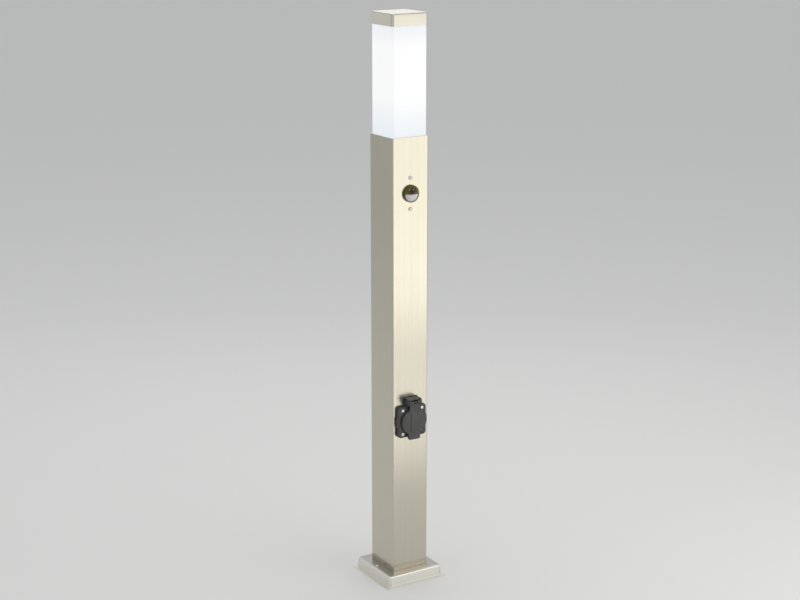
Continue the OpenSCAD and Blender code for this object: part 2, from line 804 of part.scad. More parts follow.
// Sensor can with its screw plate and the dark rim that stands out of the tube
module sensor_housing() {
    color("darkolivegreen") on_front(sensor_z) difference() {
        union() {
            rotate_extrude() polygon([
                [0, -sensor_depth], [rim_r, -sensor_depth], [rim_r, rim_out - 1.2],
                [rim_r - 0.4, rim_out - 0.4], [rim_r - 1.2, rim_out], [0, rim_out]
            ]);
            translate([0, 0, ear_plate_z - ear_plate_t]) linear_extrude(ear_plate_t)
                sensor_outline();
            for (y = [-1, 1])
                translate([0, y * sensor_screw_pitch / 2, ear_plate_z - sensor_screw_l])
                    cylinder(d = screw_boss_d, h = sensor_screw_l);
        }
        translate([0, 0, lens_seat]) cylinder(r = rim_r - rim_wall, h = sensor_depth);
        translate([0, 0, -sensor_depth + can_floor])
            cylinder(r = rim_r - inner_wall, h = sensor_depth);
        translate([0, 0, -sensor_depth - 1]) cylinder(d = branch_lead_d - 1, h = can_floor + 2);
        for (y = [-1, 1])
            translate([0, y * sensor_screw_pitch / 2, ear_plate_z - sensor_screw_l + 1])
                cylinder(d = sensor_screw_d + 2 * fit_gap, h = 2 * sensor_screw_l);
    }
}

// Part of a spherical shell in front of a plane, inside a given radius
module dome(r, wall, from, inside) {
    intersection() {
        translate([0, 0, lens_centre]) difference() {
            sphere(r = r, $fn = 96);
            sphere(r = r - wall, $fn = 96);
        }
        translate([0, 0, from]) cylinder(r = inside, h = r);
    }
}

// White lens with its skirt, seated on the step in the can
module sensor_lens() {
    color("white") on_front(sensor_z) union() {
        dome(lens_r, lens_wall, lens_base - 0.5, lens_base_r);
        translate([0, 0, lens_seat]) difference() {
            cylinder(r = lens_skirt_r, h = lens_base - lens_seat);
            translate([0, 0, -1])
                cylinder(r = lens_base_r - 1.4, h = lens_base - lens_seat + 2);
        }
    }
}

// Smoked hood over the upper half of the lens
module sensor_hood() {
    color("olive") on_front(sensor_z) difference() {
        dome(lens_r + hood_gap + hood_wall, hood_wall, lens_base + 0.2, lens_skirt_r);
        translate([-rim_d, hood_edge - 2 * rim_d, 0]) cube(2 * rim_d);
        for (w = windows) translate([w[0], w[1], 0]) cylinder(d = window_d, h = rim_d);
    }
}

// Clear windows in the hood
module hood_windows() {
    color("lightgray") on_front(sensor_z) for (w = windows) intersection() {
        translate([w[0], w[1], 0]) cylinder(d = window_d - 0.1, h = rim_d);
        dome(lens_r + hood_gap + hood_wall + 0.2, hood_wall, 0, rim_r);
    }
}

// Round circuit board
module sensor_board() {
    color("green") on_front(sensor_z) translate([0, 0, board_z])
        cylinder(r = rim_r - inner_wall - fit_gap, h = board_t);
}

// Metal can with its square window that senses motion
module motion_detector() {
    color("silver") on_front(sensor_z) translate([0, -3, board_z + board_t]) difference() {
        union() {
            cylinder(d = detector_d + 1, h = 0.5);
            cylinder(d = detector_d, h = detector_h);
        }
        translate([0, 0, detector_h]) cube([3.4, 2.6, 0.8], center = true);
    }
}

// Light sensor behind the hood
module light_sensor() {
    color("orange") on_front(sensor_z) translate([windows[0][0], windows[0][1], board_z + board_t])
        cylinder(d = 5, h = 3);
}

// Relay on the back of the board
module sensor_relay() {
    color("royalblue") on_front(sensor_z)
        translate([-relay_size[0] / 2, -relay_size[1] / 2, board_z - relay_size[2]]) cube(relay_size);
}

// Screws that hold the sensor, with their heads on the tube
module sensor_screws() {
    color("silver") on_front(sensor_z) for (y = [-1, 1])
        translate([0, y * sensor_screw_pitch / 2, 0])
            pan_screw(sensor_screw_d, sensor_screw_l, sensor_head_d, sensor_head_h);
}

// Folded deck inside the top of the tube, with an upright tab at the back
module lamp_deck() {
    color("lightgray") difference() {
        union() {
            translate([0, 0, deck_z]) linear_extrude(deck_t) rounded_square(deck_w, tube_in_r);
            translate([0, 0, deck_z - deck_skirt]) linear_extrude(deck_skirt + 0.5)
                square_ring(deck_w, tube_in_r, 1.5);
            translate([-tab_half, diffuser_in / 2 - slip_gap - tab_t, deck_z + 0.5])
                cube([2 * tab_half, tab_t, diffuser_foot + seal_t]);
        }
        translate([0, 0, deck_z - 1]) {
            cylinder(d = lamp_lead_d + 2 * slip_gap, h = deck_t + 2);
            for (y = [-1, 1]) translate([0, y * holder_screw_y, 0])
                cylinder(d = small_screw_d + 2 * fit_gap, h = deck_t + 2);
        }
        for (x = [-1, 1]) translate([x * head_screw_x, diffuser_in / 2 - 4, head_screw_z])
            rotate([-90, 0, 0]) cylinder(d = head_screw_d + 2 * fit_gap, h = 8);
    }
}

// Screws through the back of the tube and the diffuser into the deck's tab
module head_screws() {
    color("silver") for (x = [-1, 1]) translate([x * head_screw_x, tube_w / 2, head_screw_z])
        rotate([-90, 0, 0])
            pan_screw(head_screw_d, (tube_w - diffuser_in) / 2 + slip_gap + tab_t + 1,
                head_screw_head_d, head_screw_head_h);
}

// Lamp holder body
module lamp_holder() {
    color("white") translate([0, 0, deck_top]) difference() {
        union() {
            cylinder(d = holder_d, h = holder_foot);
            cylinder(d = holder_d - 4, h = holder_h);
        }
        translate([0, 0, holder_floor]) cylinder(d = lamp_cap_d + 4, h = holder_h);
        translate([0, 0, -1]) for (y = [-1, 1]) translate([0, y * holder_screw_y, 0])
            cylinder(d = small_screw_d + 2 * fit_gap, h = holder_floor - 1);
    }
}

// Thin threaded shell of the lamp holder
module holder_shell() {
    color("silver") translate([0, 0, deck_top + holder_floor]) difference() {
        cylinder(d = lamp_cap_d + 4 - 2 * fit_gap, h = holder_h - holder_floor - 6);
        translate([0, 0, 1]) cylinder(d = lamp_cap_d + 1, h = holder_h);
        translate([0, 0, -1]) cylinder(d = shell_eye_d, h = 4);
    }
}

// Sprung tongue under the lamp's contact
module holder_contact() {
    low = deck_top + holder_floor;
    end = shell_eye_d / 2 - 1.5;
    color("gold") translate([-tongue_w / 2, 0, 0]) rotate([90, 0, 90]) linear_extrude(tongue_w)
        polygon([
            [-end, low], [end, low], [end, low + tongue_t], [2.5 - end, low + tongue_t],
            [end - 2, lamp_z - tongue_t], [end - 2, lamp_z - fit_gap], [-1, lamp_z - fit_gap],
            [-end, low + 1.5 * tongue_t]
        ]);
}

// Screws that hold the lamp holder to the deck from below
module holder_screws() {
    color("silver") for (y = [-1, 1]) translate([0, y * holder_screw_y, deck_z])
        mirror([0, 0, 1])
            pan_screw(small_screw_d, deck_t + holder_floor - 3, small_head_d, small_head_h);
}

// Screw cap of the lamp with its contact
module lamp_screw_cap() {
    r = lamp_cap_d / 2;
    color("silver") translate([0, 0, lamp_z]) rotate_extrude() polygon(concat(
        [[0, 0], [4, 0], [4.6, 1.2], [r - 2, 3.4]],
        [for (i = [0:5]) let (z = 4 + thread_pitch * i)
            each [[r - 1, z], [r, z + thread_pitch / 2]]],
        [[r - 0.6, lamp_cap_h - 0.2], [r - 0.6, lamp_cap_h], [0, lamp_cap_h]]));
}

// Conical body of the lamp with its electronics
module lamp_body() {
    low = lamp_z + lamp_cap_h;
    neck_r = lamp_cap_d / 2;
    shoulder_r = globe_d / 2 - 3.6;
    color("white") rotate_extrude() polygon([
        [0, low], [neck_r - 0.6, low], [neck_r + 0.2, low + 2],
        [neck_r + 0.6, deck_top + holder_h + 1],
        [shoulder_r, globe_z - globe_cut - 2], [shoulder_r, globe_z - globe_cut],
        [0, globe_z - globe_cut]
    ]);
}

// Opal globe of the lamp
module lamp_globe() {
    color("white") translate([0, 0, globe_z]) difference() {
        sphere(d = globe_d);
        sphere(d = globe_d - 2 * globe_t);
        translate([0, 0, -globe_d - globe_cut]) cylinder(d = 2 * globe_d, h = globe_d);
    }
}

// Flat seal under the diffuser
module diffuser_seal() {
    color("black") translate([0, 0, deck_top]) linear_extrude(seal_t)
        square_ring(diffuser_w, diffuser_r, diffuser_t);
}

// Opal square diffuser
module diffuser() {
    color("white") difference() {
        translate([0, 0, diffuser_bottom]) linear_extrude(diffuser_top - diffuser_bottom)
            square_ring(diffuser_w, diffuser_r, diffuser_t);
        for (x = [-1, 1]) translate([x * head_screw_x, diffuser_in / 2 - 1, head_screw_z])
            rotate([-90, 0, 0]) cylinder(d = head_screw_d + 2 * fit_gap, h = diffuser_t + 2);
    }
}

// Silicone seal between the diffuser and the cap
module cap_seal() {
    color("black") translate([0, 0, diffuser_top]) linear_extrude(seal_t)
        square_ring(diffuser_w - 2 * cap_seal_inset, diffuser_r - cap_seal_inset,
            diffuser_t - cap_seal_inset);
}

// Square stainless cap with soft edges
module top_cap() {
    reach = cap_w / 2 - cap_r;
    color("gainsboro") union() {
        translate([0, 0, cap_bottom]) sweep_square(reach) {
            translate([cap_r - cap_t, 0]) square([cap_t, cap_h - cap_r]);
            translate([0, cap_h - cap_r]) quarter_ring(cap_r, cap_t);
        }
        translate([-reach, -reach, total_h - cap_t]) cube([2 * reach, 2 * reach, cap_t]);
    }
}

ground_plate();
cable_grommet();
cover_pillars();
base_cover();
cover_screws();
foot_weld();
terminal_bracket();
bracket_rivets();
terminal_block();
terminal_screws();
cable_clamp();
clamp_screws();
lamp_lead();
sensor_lead();
socket_lead();
post_tube();
socket_gasket();
socket_housing();
socket_cup();
socket_insert();
contact_sleeves();
earth_clips();
socket_screws();
socket_lid();
lid_seal();
hinge_pin();
lid_spring();
sensor_gasket();
sensor_housing();
sensor_hood();
sensor_lens();
hood_windows();
sensor_board();
motion_detector();
light_sensor();
sensor_relay();
sensor_screws();
lamp_deck();
head_screws();
lamp_holder();
holder_shell();
holder_contact();
holder_screws();
lamp_screw_cap();
lamp_body();
lamp_globe();
diffuser_seal();
diffuser();
cap_seal();
top_cap();
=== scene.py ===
import math
import bmesh
import bpy
from mathutils import Matrix, Vector


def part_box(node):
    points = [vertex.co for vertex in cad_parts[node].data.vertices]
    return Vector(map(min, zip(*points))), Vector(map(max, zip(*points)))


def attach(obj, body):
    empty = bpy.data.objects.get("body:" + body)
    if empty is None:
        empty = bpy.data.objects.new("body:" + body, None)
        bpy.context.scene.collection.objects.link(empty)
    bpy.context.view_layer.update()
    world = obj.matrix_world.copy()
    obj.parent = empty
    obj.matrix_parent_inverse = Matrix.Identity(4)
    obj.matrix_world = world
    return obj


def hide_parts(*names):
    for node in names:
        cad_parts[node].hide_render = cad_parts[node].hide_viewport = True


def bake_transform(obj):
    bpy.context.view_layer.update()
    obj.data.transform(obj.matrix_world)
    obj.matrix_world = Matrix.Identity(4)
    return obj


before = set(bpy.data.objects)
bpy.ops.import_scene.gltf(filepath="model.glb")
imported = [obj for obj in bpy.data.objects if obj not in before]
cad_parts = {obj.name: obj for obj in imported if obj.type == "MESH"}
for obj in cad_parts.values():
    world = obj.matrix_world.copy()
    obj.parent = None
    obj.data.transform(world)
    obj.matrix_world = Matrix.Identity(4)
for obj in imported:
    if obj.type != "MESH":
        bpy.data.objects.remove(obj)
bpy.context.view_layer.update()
scene = bpy.context.scene
scene.view_settings.view_transform = "Standard"

# The view of the photograph: the camera stands to the left of the post, a little higher than its
# cap, and looks down along it through a long lens, so that the post fills the picture's height.
mm = 0.001
camera_place = Vector((-1.613, -2.596, 1.371))
sight_line = Vector((0.5282, 0.8491, 0.0))
camera_pitch = math.radians(14.92)
focal_length = 74.8

view_lens = bpy.data.cameras.new("photo_view")
view_lens.lens = focal_length
view_lens.sensor_width = 36.0
view_lens.clip_end = 60.0
photo_view = bpy.data.objects.new("photo_view", view_lens)
scene.collection.objects.link(photo_view)
photo_view.location = camera_place
downward = sight_line * math.cos(camera_pitch) - Vector((0, 0, math.sin(camera_pitch)))
photo_view.rotation_mode = "QUATERNION"
photo_view.rotation_quaternion = downward.to_track_quat("-Z", "Y")
scene.camera = photo_view


# The studio: a pale matt floor in a pale surround, and six large soft lamps. The front right softbox
# and the card on the floor stand where the post's front face mirrors them, so it is the brighter.
def put(entry, value):
    """Links a node's input to another node, or sets it to a plain value or a colour."""
    if isinstance(value, bpy.types.NodeSocket):
        entry.id_data.links.new(value, entry)
    elif entry.type == "RGBA":
        entry.default_value = (*value, 1.0)
    else:
        entry.default_value = value


def fed(made, **inputs):
    """Sets or links some of a node's inputs; an underscore stands for a space."""
    for title, value in inputs.items():
        put(made.inputs[title.replace("_", " ")], value)
    return made


def node(tree, kind, **inputs):
    """A new shader node with some of its inputs set or linked."""
    return fed(tree.nodes.new("ShaderNode" + kind), **inputs)


def painted(name, colour, roughness, metallic=0.0):
    """A material with its node tree and its shader, ready for more nodes."""
    paint = bpy.data.materials.new(name)
    paint.use_nodes = True
    shader = paint.node_tree.nodes["Principled BSDF"]
    fed(shader, Base_Color=colour, Roughness=roughness, Metallic=metallic)
    return paint, paint.node_tree, shader


def blended(tree, mask, low, high):
    """A colour between two, by a mask."""
    mix = tree.nodes.new("ShaderNodeMix")
    mix.data_type = "RGBA"
    put(mix.inputs["Factor"], mask)
    put(mix.inputs[6], low)
    put(mix.inputs[7], high)
    return mix.outputs[2]


def worked(tree, operation, *values, kind="Math"):
    """A sum, a product or another measure of values, each one a socket or plain."""
    made = node(tree, kind)
    made.operation = operation
    for entry, value in zip(made.inputs, values):
        put(entry, value)
    return made.outputs["Value"]


def soft_lamp(name, place, target, size, power, tint):
    """A rectangular soft lamp that points at a target and stays out of the picture."""
    lamp = bpy.data.lights.new(name, "AREA")
    lamp.shape = "RECTANGLE"
    lamp.size, lamp.size_y = size
    lamp.energy = power
    lamp.color = tint
    stand = bpy.data.objects.new(name, lamp)
    scene.collection.objects.link(stand)
    stand.location = place
    stand.rotation_mode = "QUATERNION"
    stand.rotation_quaternion = (Vector(target) - Vector(place)).to_track_quat("-Z", "Y")
    stand.visible_camera = False


def new_piece(name, points, faces):
    """A piece from its points and faces, with doubled points joined and every face turned outward."""
    form = bmesh.new()
    corners = [form.verts.new(point) for point in points]
    for face in faces:
        form.faces.new([corners[k] for k in face])
    bmesh.ops.remove_doubles(form, verts=form.verts, dist=0.001 * mm)
    bmesh.ops.recalc_face_normals(form, faces=form.faces)
    mesh = bpy.data.meshes.new(name)
    form.to_mesh(mesh)
    form.free()
    piece = bpy.data.objects.new(name, mesh)
    scene.collection.objects.link(piece)
    return piece


surround = bpy.data.worlds.new("pale_surround")
surround.use_nodes = True
fed(surround.node_tree.nodes["Background"], Color=(0.56, 0.565, 0.57))
scene.world = surround

soft_lamp("front_right_softbox", (0.76, -1.22, 0.61), (0, 0, 0.61), (1.6, 0.94), 4.9, (1.0, 0.97, 0.88))
soft_lamp("back_softbox", (0.80, 1.27, 1.56), (0, 0, 1.1), (1.6, 0.5), 2.7, (1.0, 0.99, 0.98))
soft_lamp("left_softbox", (-1.75, 2.75, 0.95), (0, 0, 0.9), (1.6, 0.5), 1.1, (1.0, 0.98, 0.96))
soft_lamp("front_floor_card", (0.80, -1.30, 0.02), (0.80, -1.30, 1.0), (1.5, 1.5), 3.2, (1.0, 0.98, 0.93))
soft_lamp("left_front_fill", (-2.5, -1.55, 0.95), (0, 0, 0.95), (2.0, 1.2), 2.4, (1.0, 1.0, 1.0))
soft_lamp("overhead_fill", (0.2, 0.3, 3.2), (0, 0, 0), (2.2, 2.2), 17.0, (1.0, 1.0, 1.0))

floor_half = 20.0
floor_corners = [(x * floor_half, y * floor_half, 0) for x, y in ((-1, -1), (1, -1), (1, 1), (-1, 1))]
studio_floor = new_piece("studio_floor", floor_corners, [(0, 1, 2, 3)])
floor_grey = (0.72, 0.72, 0.71)
floor_paint, floor_tree, floor_shader = painted("pale_floor", floor_grey, 0.9)
floor_ray = node(floor_tree, "LightPath").outputs
floor_mirrored = worked(floor_tree, "ADD", floor_ray["Is Glossy Ray"], floor_ray["Is Transmission Ray"])
floor_seen = worked(floor_tree, "ADD", floor_ray["Is Camera Ray"], floor_mirrored)
fed(floor_shader, Base_Color=blended(floor_tree, floor_seen, floor_grey, (0.85, 0.85, 0.84)))
studio_floor.data.materials.append(floor_paint)


# Ground plate: a zinc plated steel plate, laser cut, with four holes for anchor bolts and a large
# hole for the cable. It is bolted to the paving and hidden under the base cover.
def effect(name, inputs, outputs):
    """An empty shader node group with named inputs and outputs, and its two end nodes."""
    group = bpy.data.node_groups.new(name, "ShaderNodeTree")
    for title, kind, value in inputs:
        socket = group.interface.new_socket(title, in_out="INPUT", socket_type="NodeSocket" + kind)
        socket.default_value = value
    for title, kind in outputs:
        group.interface.new_socket(title, in_out="OUTPUT", socket_type="NodeSocket" + kind)
    return group, group.nodes.new("NodeGroupInput"), group.nodes.new("NodeGroupOutput")


def placed_effect(tree, group, **inputs):
    """One use of an effect in a material, with its own values."""
    made = tree.nodes.new("ShaderNodeGroup")
    made.node_tree = group
    return fed(made, **inputs).outputs


def ranged(tree, mask, low, high, from_low=0.0, from_high=1.0):
    """A value that runs from low to high as the mask runs over its range."""
    return node(tree, "MapRange", Value=mask, To_Min=low, To_Max=high,
                From_Min=from_low, From_Max=from_high).outputs["Result"]


def embossed(shader, height, depth):
    """A relief of a given depth on the shader's normal."""
    relief = node(shader.id_data, "Bump", Strength=1.0, Distance=depth, Height=height)
    fed(shader, Normal=relief.outputs["Normal"])


def own_space(tree):
    """Places in the piece's own space, so that a pattern stays on the piece."""
    return node(tree, "TexCoord").outputs["Object"]


def on_piece(tree, kind, **inputs):
    """A shader node that reads the piece's own space."""
    return node(tree, kind, Vector=own_space(tree), **inputs)


soft_marks, marks_in, marks_out = effect(
    "soft_marks", [("Size", "Float", 20.0)], [("Mask", "Float"), ("Fine", "Float")])
marks_cloud = on_piece(soft_marks, "TexNoise", Detail=4.0, Scale=marks_in.outputs["Size"])
marks_fine = on_piece(soft_marks, "TexNoise", Scale=900.0, Detail=2.0)
fed(marks_out, Mask=ranged(soft_marks, marks_cloud.outputs["Fac"], 0.0, 1.0, 0.42, 0.68),
    Fine=marks_fine.outputs["Fac"])


def toned(colour, share, lift=0.0):
    """A darker or lighter tone of a colour."""
    return tuple(min(1.0, c * share + lift) for c in colour)


def dressed(paint, *names):
    """Gives CAD nodes their material."""
    for name in names:
        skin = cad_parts[name].data
        skin.materials.clear()
        skin.materials.append(paint)


zinc_grey = (0.60, 0.61, 0.62)
plate_zinc, zinc_tree, zinc_shader = painted("plate_zinc", zinc_grey, 0.38, 1.0)
zinc_marks = placed_effect(zinc_tree, soft_marks, Size=60.0)
spangle = on_piece(zinc_tree, "TexVoronoi", Scale=260.0).outputs["Color"]
fed(zinc_shader,
    Base_Color=blended(zinc_tree, zinc_marks["Mask"], zinc_grey, toned(zinc_grey, 0.72)),
    Roughness=ranged(zinc_tree, spangle, 0.30, 0.52))
embossed(zinc_shader, zinc_marks["Fine"], 0.01 * mm)
dressed(plate_zinc, "ground_plate", "terminal_bracket", "lamp_deck", "cover_pillars", "foot_weld")


# Cable grommet: a black rubber ring, moulded in one piece and pressed into the plate's large hole,
# where its lip holds it. The seals round the socket, the sensor and the head are the same rubber.
def marked(name, colour, second, roughness, spread, size, depth=0.0, metallic=0.0):
    """A material with cloudy marks in a second colour, a roughness that varies and a fine relief."""
    paint, tree, shader = painted(name, colour, roughness, metallic)
    marks = placed_effect(tree, soft_marks, Size=size)
    fed(shader, Base_Color=blended(tree, marks["Mask"], colour, second),
        Roughness=ranged(tree, marks["Fine"], roughness + spread[0], roughness + spread[1]))
    if depth:
        embossed(shader, marks["Fine"], depth)
    return paint, tree, shader


def sealing_rubber(name, colour, roughness=0.72):
    """Matt rubber with a fine pitted skin and a dusty bloom."""
    return marked(name, colour, toned(colour, 1.9, 0.012), roughness,
                  spread=(-0.08, 0.1), size=90.0, depth=0.04 * mm)[0]


dressed(sealing_rubber("seal_rubber", (0.030, 0.030, 0.031)),
        "cable_grommet", "socket_gasket", "lid_seal", "sensor_gasket", "diffuser_seal", "cap_seal")


# Base cover: one pressed sheet of stainless steel with a rounded top edge and a flat flange that
# rests on the ground. A row of small slots runs up each corner, and it is brushed to a bright satin.
def square_loop(half, radius, z, steps=8):
    """Points round a square with round corners, at one height."""
    radius = max(radius, 0.02 * mm)
    loop = []
    for quarter in range(4):
        turn = math.radians(90 * quarter)
        centre = Vector((half - radius, half - radius))
        for step in range(steps + 1):
            angle = math.radians(90 * step / steps)
            point = centre + radius * Vector((math.cos(angle), math.sin(angle)))
            loop.append((point.x * math.cos(turn) - point.y * math.sin(turn),
                         point.x * math.sin(turn) + point.y * math.cos(turn), z))
    return loop


def from_loops(name, loops, closed=True):
    """A skin over loops with the same number of points; closed joins the last to the first."""
    count = len(loops[0])
    points = [point for loop in loops for point in loop]
    faces = []
    for row in range(len(loops) if closed else len(loops) - 1):
        here, there = row * count, (row + 1) % len(loops) * count
        for k in range(count):
            after = (k + 1) % count
            faces.append((here + k, there + k, there + after, here + after))
    if not closed:
        faces.append(tuple(range(count)))
        faces.append(tuple(reversed(range(len(points) - count, len(points)))))
    return new_piece(name, points, faces)


def square_form(name, loops, steps=8, closed=True):
    """A skin over squares with round corners, each with its half width, height and corner."""
    return from_loops(name, [square_loop(half, radius, z, steps) for half, z, radius in loops], closed)


def arc(centre, radius, start, end, steps=6):
    """Points along an arc in the plane of a profile, by angles in degrees."""
    angles = [math.radians(start + (end - start) * i / steps) for i in range(steps + 1)]
    return [(centre[0] + radius * math.cos(a), centre[1] + radius * math.sin(a)) for a in angles]


def bend_loops(inset, *bend):
    """Loops of a square form along an arc; the corners' centres lie at the inset from the axis."""
    return [(out, up, out - inset) for out, up in arc(*bend)]


def block(name, low, high):
    """A plain block between two corners, used as a cutter or to build a form from."""
    corners = [(x, y, z) for z in (low[2], high[2]) for y in (low[1], high[1]) for x in (low[0], high[0])]
    sides = [(0, 2, 3, 1), (4, 5, 7, 6), (0, 1, 5, 4), (2, 6, 7, 3), (0, 4, 6, 2), (1, 3, 7, 5)]
    return new_piece(name, corners, sides)


def turned(name, profile, around=64):
    """A turned form: the profile is pairs of radius and height, with its ends on the axis."""
    turns = [2 * math.pi * k / around for k in range(around)]
    rings = [[(radius * math.cos(turn), radius * math.sin(turn), height) for turn in turns]
             for radius, height in profile]
    return from_loops(name, rings, closed=False)


def round_cutter(radius, low, high, x=0.0, y=0.0, around=64):
    """A round cutter along its own axis."""
    cutter = turned("cutter", [(0, low), (radius, low), (radius, high), (0, high)], around)
    cutter.data.transform(Matrix.Translation((x, y, 0)))
    return cutter


def drilled(piece, radius, low, high, x=0.0, y=0.0, around=64, place=Matrix()):
    """Cuts a round hole into a piece, along the axis of a place."""
    cutter = round_cutter(radius, low, high, x, y, around)
    cutter.data.transform(place)
    shaped(piece, cutter)


def settled(piece):
    """Makes a piece's modifiers part of its mesh."""
    graph = bpy.context.evaluated_depsgraph_get()
    piece.data = bpy.data.meshes.new_from_object(piece.evaluated_get(graph))
    piece.modifiers.clear()


def shaped(piece, tool, how="DIFFERENCE"):
    """Cuts one form from another, or joins it on, and uses the tool up."""
    step = piece.modifiers.new("shape", "BOOLEAN")
    step.operation = how
    step.solver = "EXACT"
    step.object = tool
    settled(piece)
    bpy.data.objects.remove(tool)


def softened(piece, width=0.0, angle=32.0):
    """Rounds every edge that is sharper than an angle, as a press or a mould leaves it."""
    if width > 0:
        edge = piece.modifiers.new("soft_edges", "BEVEL")
        edge.width = width
        edge.segments = 2
        edge.limit_method = "ANGLE"
        edge.angle_limit = math.radians(angle)
        settled(piece)
    for face in piece.data.polygons:
        face.use_smooth = True
    piece.data.set_sharp_from_angle(angle=math.radians(40))
    flat = piece.modifiers.new("flat_faces", "WEIGHTED_NORMAL")
    flat.keep_sharp = True


def fitted(piece, paint, cad_node, body="post"):
    """Paints a piece, lets it ride on a body, and has it stand for a CAD node."""
    piece.data.materials.clear()
    piece.data.materials.append(paint)
    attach(piece, body)
    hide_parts(cad_node)


worn_edge, edge_in, edge_out = effect("worn_edge", [("Width", "Float", 0.4 * mm)], [("Edge", "Float")])
edge_soft = node(worn_edge, "Bevel", Radius=edge_in.outputs["Width"])
edge_soft.samples = 6
edge_turn = worked(worn_edge, "DOT_PRODUCT", edge_soft.outputs["Normal"],
                   node(worn_edge, "NewGeometry").outputs["Normal"], kind="VectorMath")
fed(edge_out, Edge=ranged(worn_edge, edge_turn, 1.0, 0.0, 0.75, 0.98))

satin_grain, grain_in, grain_out = effect(
    "satin_grain", [("Lay", "Vector", (1500.0, 1500.0, 12.0))], [("Streaks", "Float"), ("Height", "Float")])
grain_lay = on_piece(satin_grain, "Mapping", Scale=grain_in.outputs["Lay"]).outputs["Vector"]
grain_fine = node(satin_grain, "TexNoise", Vector=grain_lay, Scale=1.0, Detail=3.0, Roughness=0.62)
grain_broad = node(satin_grain, "TexNoise", Vector=grain_lay, Scale=0.16, Detail=2.0)
grain_sum = worked(satin_grain, "ADD", grain_fine.outputs["Fac"], grain_broad.outputs["Fac"])
fed(grain_out, Streaks=ranged(satin_grain, grain_sum, 0.0, 1.0, 0.6, 1.4), Height=grain_fine.outputs["Fac"])


def height_mask(tree, low, high):
    """A mask that runs from nought to one between two heights, turned over where low is the higher."""
    return ranged(tree, on_piece(tree, "SeparateXYZ").outputs["Z"], 0.0, 1.0, low, high)


def overlaid(shader, mask, colour):
    """Lays another colour over the shader's own colour, by a mask."""
    plain = shader.inputs["Base Color"].links[0].from_socket
    fed(shader, Base_Color=blended(shader.id_data, mask, plain, colour))


def satin_steel(name, colour, roughness, lay, depth=0.004 * mm):
    """Brushed stainless steel: fine streaks along its lay, cloudy marks and brighter edges."""
    paint, tree, shader = painted(name, colour, roughness, 1.0)
    grain = placed_effect(tree, satin_grain, Lay=lay)
    marks = placed_effect(tree, soft_marks, Size=9.0)
    edge = placed_effect(tree, worn_edge, Width=0.5 * mm)
    streaked = ranged(tree, grain["Streaks"], roughness + 0.04, roughness - 0.03)
    clouded = ranged(tree, marks["Mask"], 0.0, 0.05)
    fed(shader, Base_Color=blended(tree, grain["Streaks"], toned(colour, 0.97), toned(colour, 1.03)),
        Roughness=worked(tree, "ADD", streaked, clouded))
    overlaid(shader, edge["Edge"], toned(colour, 1.1))
    embossed(shader, grain["Height"], depth)
    return paint, tree, shader


cover_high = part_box("base_cover")[1]
tube_low, tube_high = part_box("post_tube")
tube_half = tube_high.x
cover_top = cover_high.z
flange_half = cover_high.x
flange_w = 7.0 * mm
cover_half = flange_half - flange_w
cover_draft = 0.9 * mm
cover_sheet = 1.5 * mm
cover_fold = 4.0 * mm
flange_fold = 1.0 * mm
flange_corner = 1.2 * mm
hole_gap = 0.1 * mm
hole_roll = 0.8 * mm
hole_half = tube_half + hole_gap
hole_corner = 4.0 * mm + hole_gap
inner_fold = cover_fold - cover_sheet
edge_break = 0.3 * mm
foot_break = 0.1 * mm
inner_break = 0.6 * mm
top_reach = cover_half - cover_draft - cover_fold
foot_half = cover_half + cover_draft

cover_loops = [(hole_half, cover_top - hole_roll, hole_corner)]
cover_loops += bend_loops(
    hole_half - hole_corner, (hole_half + hole_roll, cover_top - hole_roll), hole_roll, 180, 90, 4)
cover_loops += bend_loops(top_reach, (top_reach, cover_top - cover_fold), cover_fold, 90, 0, 8)
cover_loops += bend_loops(
    foot_half - cover_fold, (foot_half + flange_fold, cover_sheet + flange_fold), flange_fold, 180, 270, 4)
cover_loops += [
    (flange_half - edge_break, cover_sheet, flange_corner),
    (flange_half, cover_sheet - edge_break, flange_corner),
    (flange_half, foot_break, flange_corner), (flange_half - foot_break, 0.0, flange_corner),
    (foot_half - cover_sheet + inner_break, 0.0, inner_fold),
    (foot_half - cover_sheet, inner_break, inner_fold)]
cover_loops += bend_loops(top_reach, (top_reach, cover_top - cover_fold), inner_fold, 0, 90, 6)
cover_loops.append((hole_half, cover_top - cover_sheet, hole_corner))
cover_shell = square_form("cover_shell", cover_loops)

cover_screw_x = (tube_half + cover_half) / 2
cover_hole_r = 2.4 * mm
seam_x = cover_half - cover_fold - 0.6 * mm
seam_slot = Vector((0.5 * mm, 1.2 * mm, 1.3 * mm))
seam_pitch = 3.9 * mm
for side in (-1, 1):
    drilled(cover_shell, cover_hole_r, 0, cover_top + mm, side * cover_screw_x)
    for front in (-1, 1):
        for row in range(4):
            seam_z = cover_sheet + 3.1 * mm + row * seam_pitch
            middle = Vector((side * seam_x, front * cover_half, seam_z))
            shaped(cover_shell, block("corner_seam", middle - seam_slot, middle + seam_slot))
softened(cover_shell)
cover_steel, cover_tree, cover_shader = satin_steel(
    "cover_steel", (0.82, 0.80, 0.75), 0.16, (14.0, 14.0, 1500.0))
ground_side = height_mask(cover_tree, cover_top - 1.0 * mm, cover_top - 4.0 * mm)
bright_rough = cover_shader.inputs["Roughness"].links[0].from_socket
fed(cover_shader, Roughness=worked(cover_tree, "MULTIPLY_ADD", ground_side, 0.30, bright_rough))
# Painted reflection and dust: the flat top of the cover is painted a darker grey, partly settled dust and
# partly a painted dark reflection of the post and its surroundings.
dust_and_painted_reflection_top = height_mask(cover_tree, cover_top - 0.8 * mm, cover_top - 0.3 * mm)
overlaid(cover_shader, dust_and_painted_reflection_top, (0.66, 0.65, 0.61))
fitted(cover_shell, cover_steel, "base_cover")


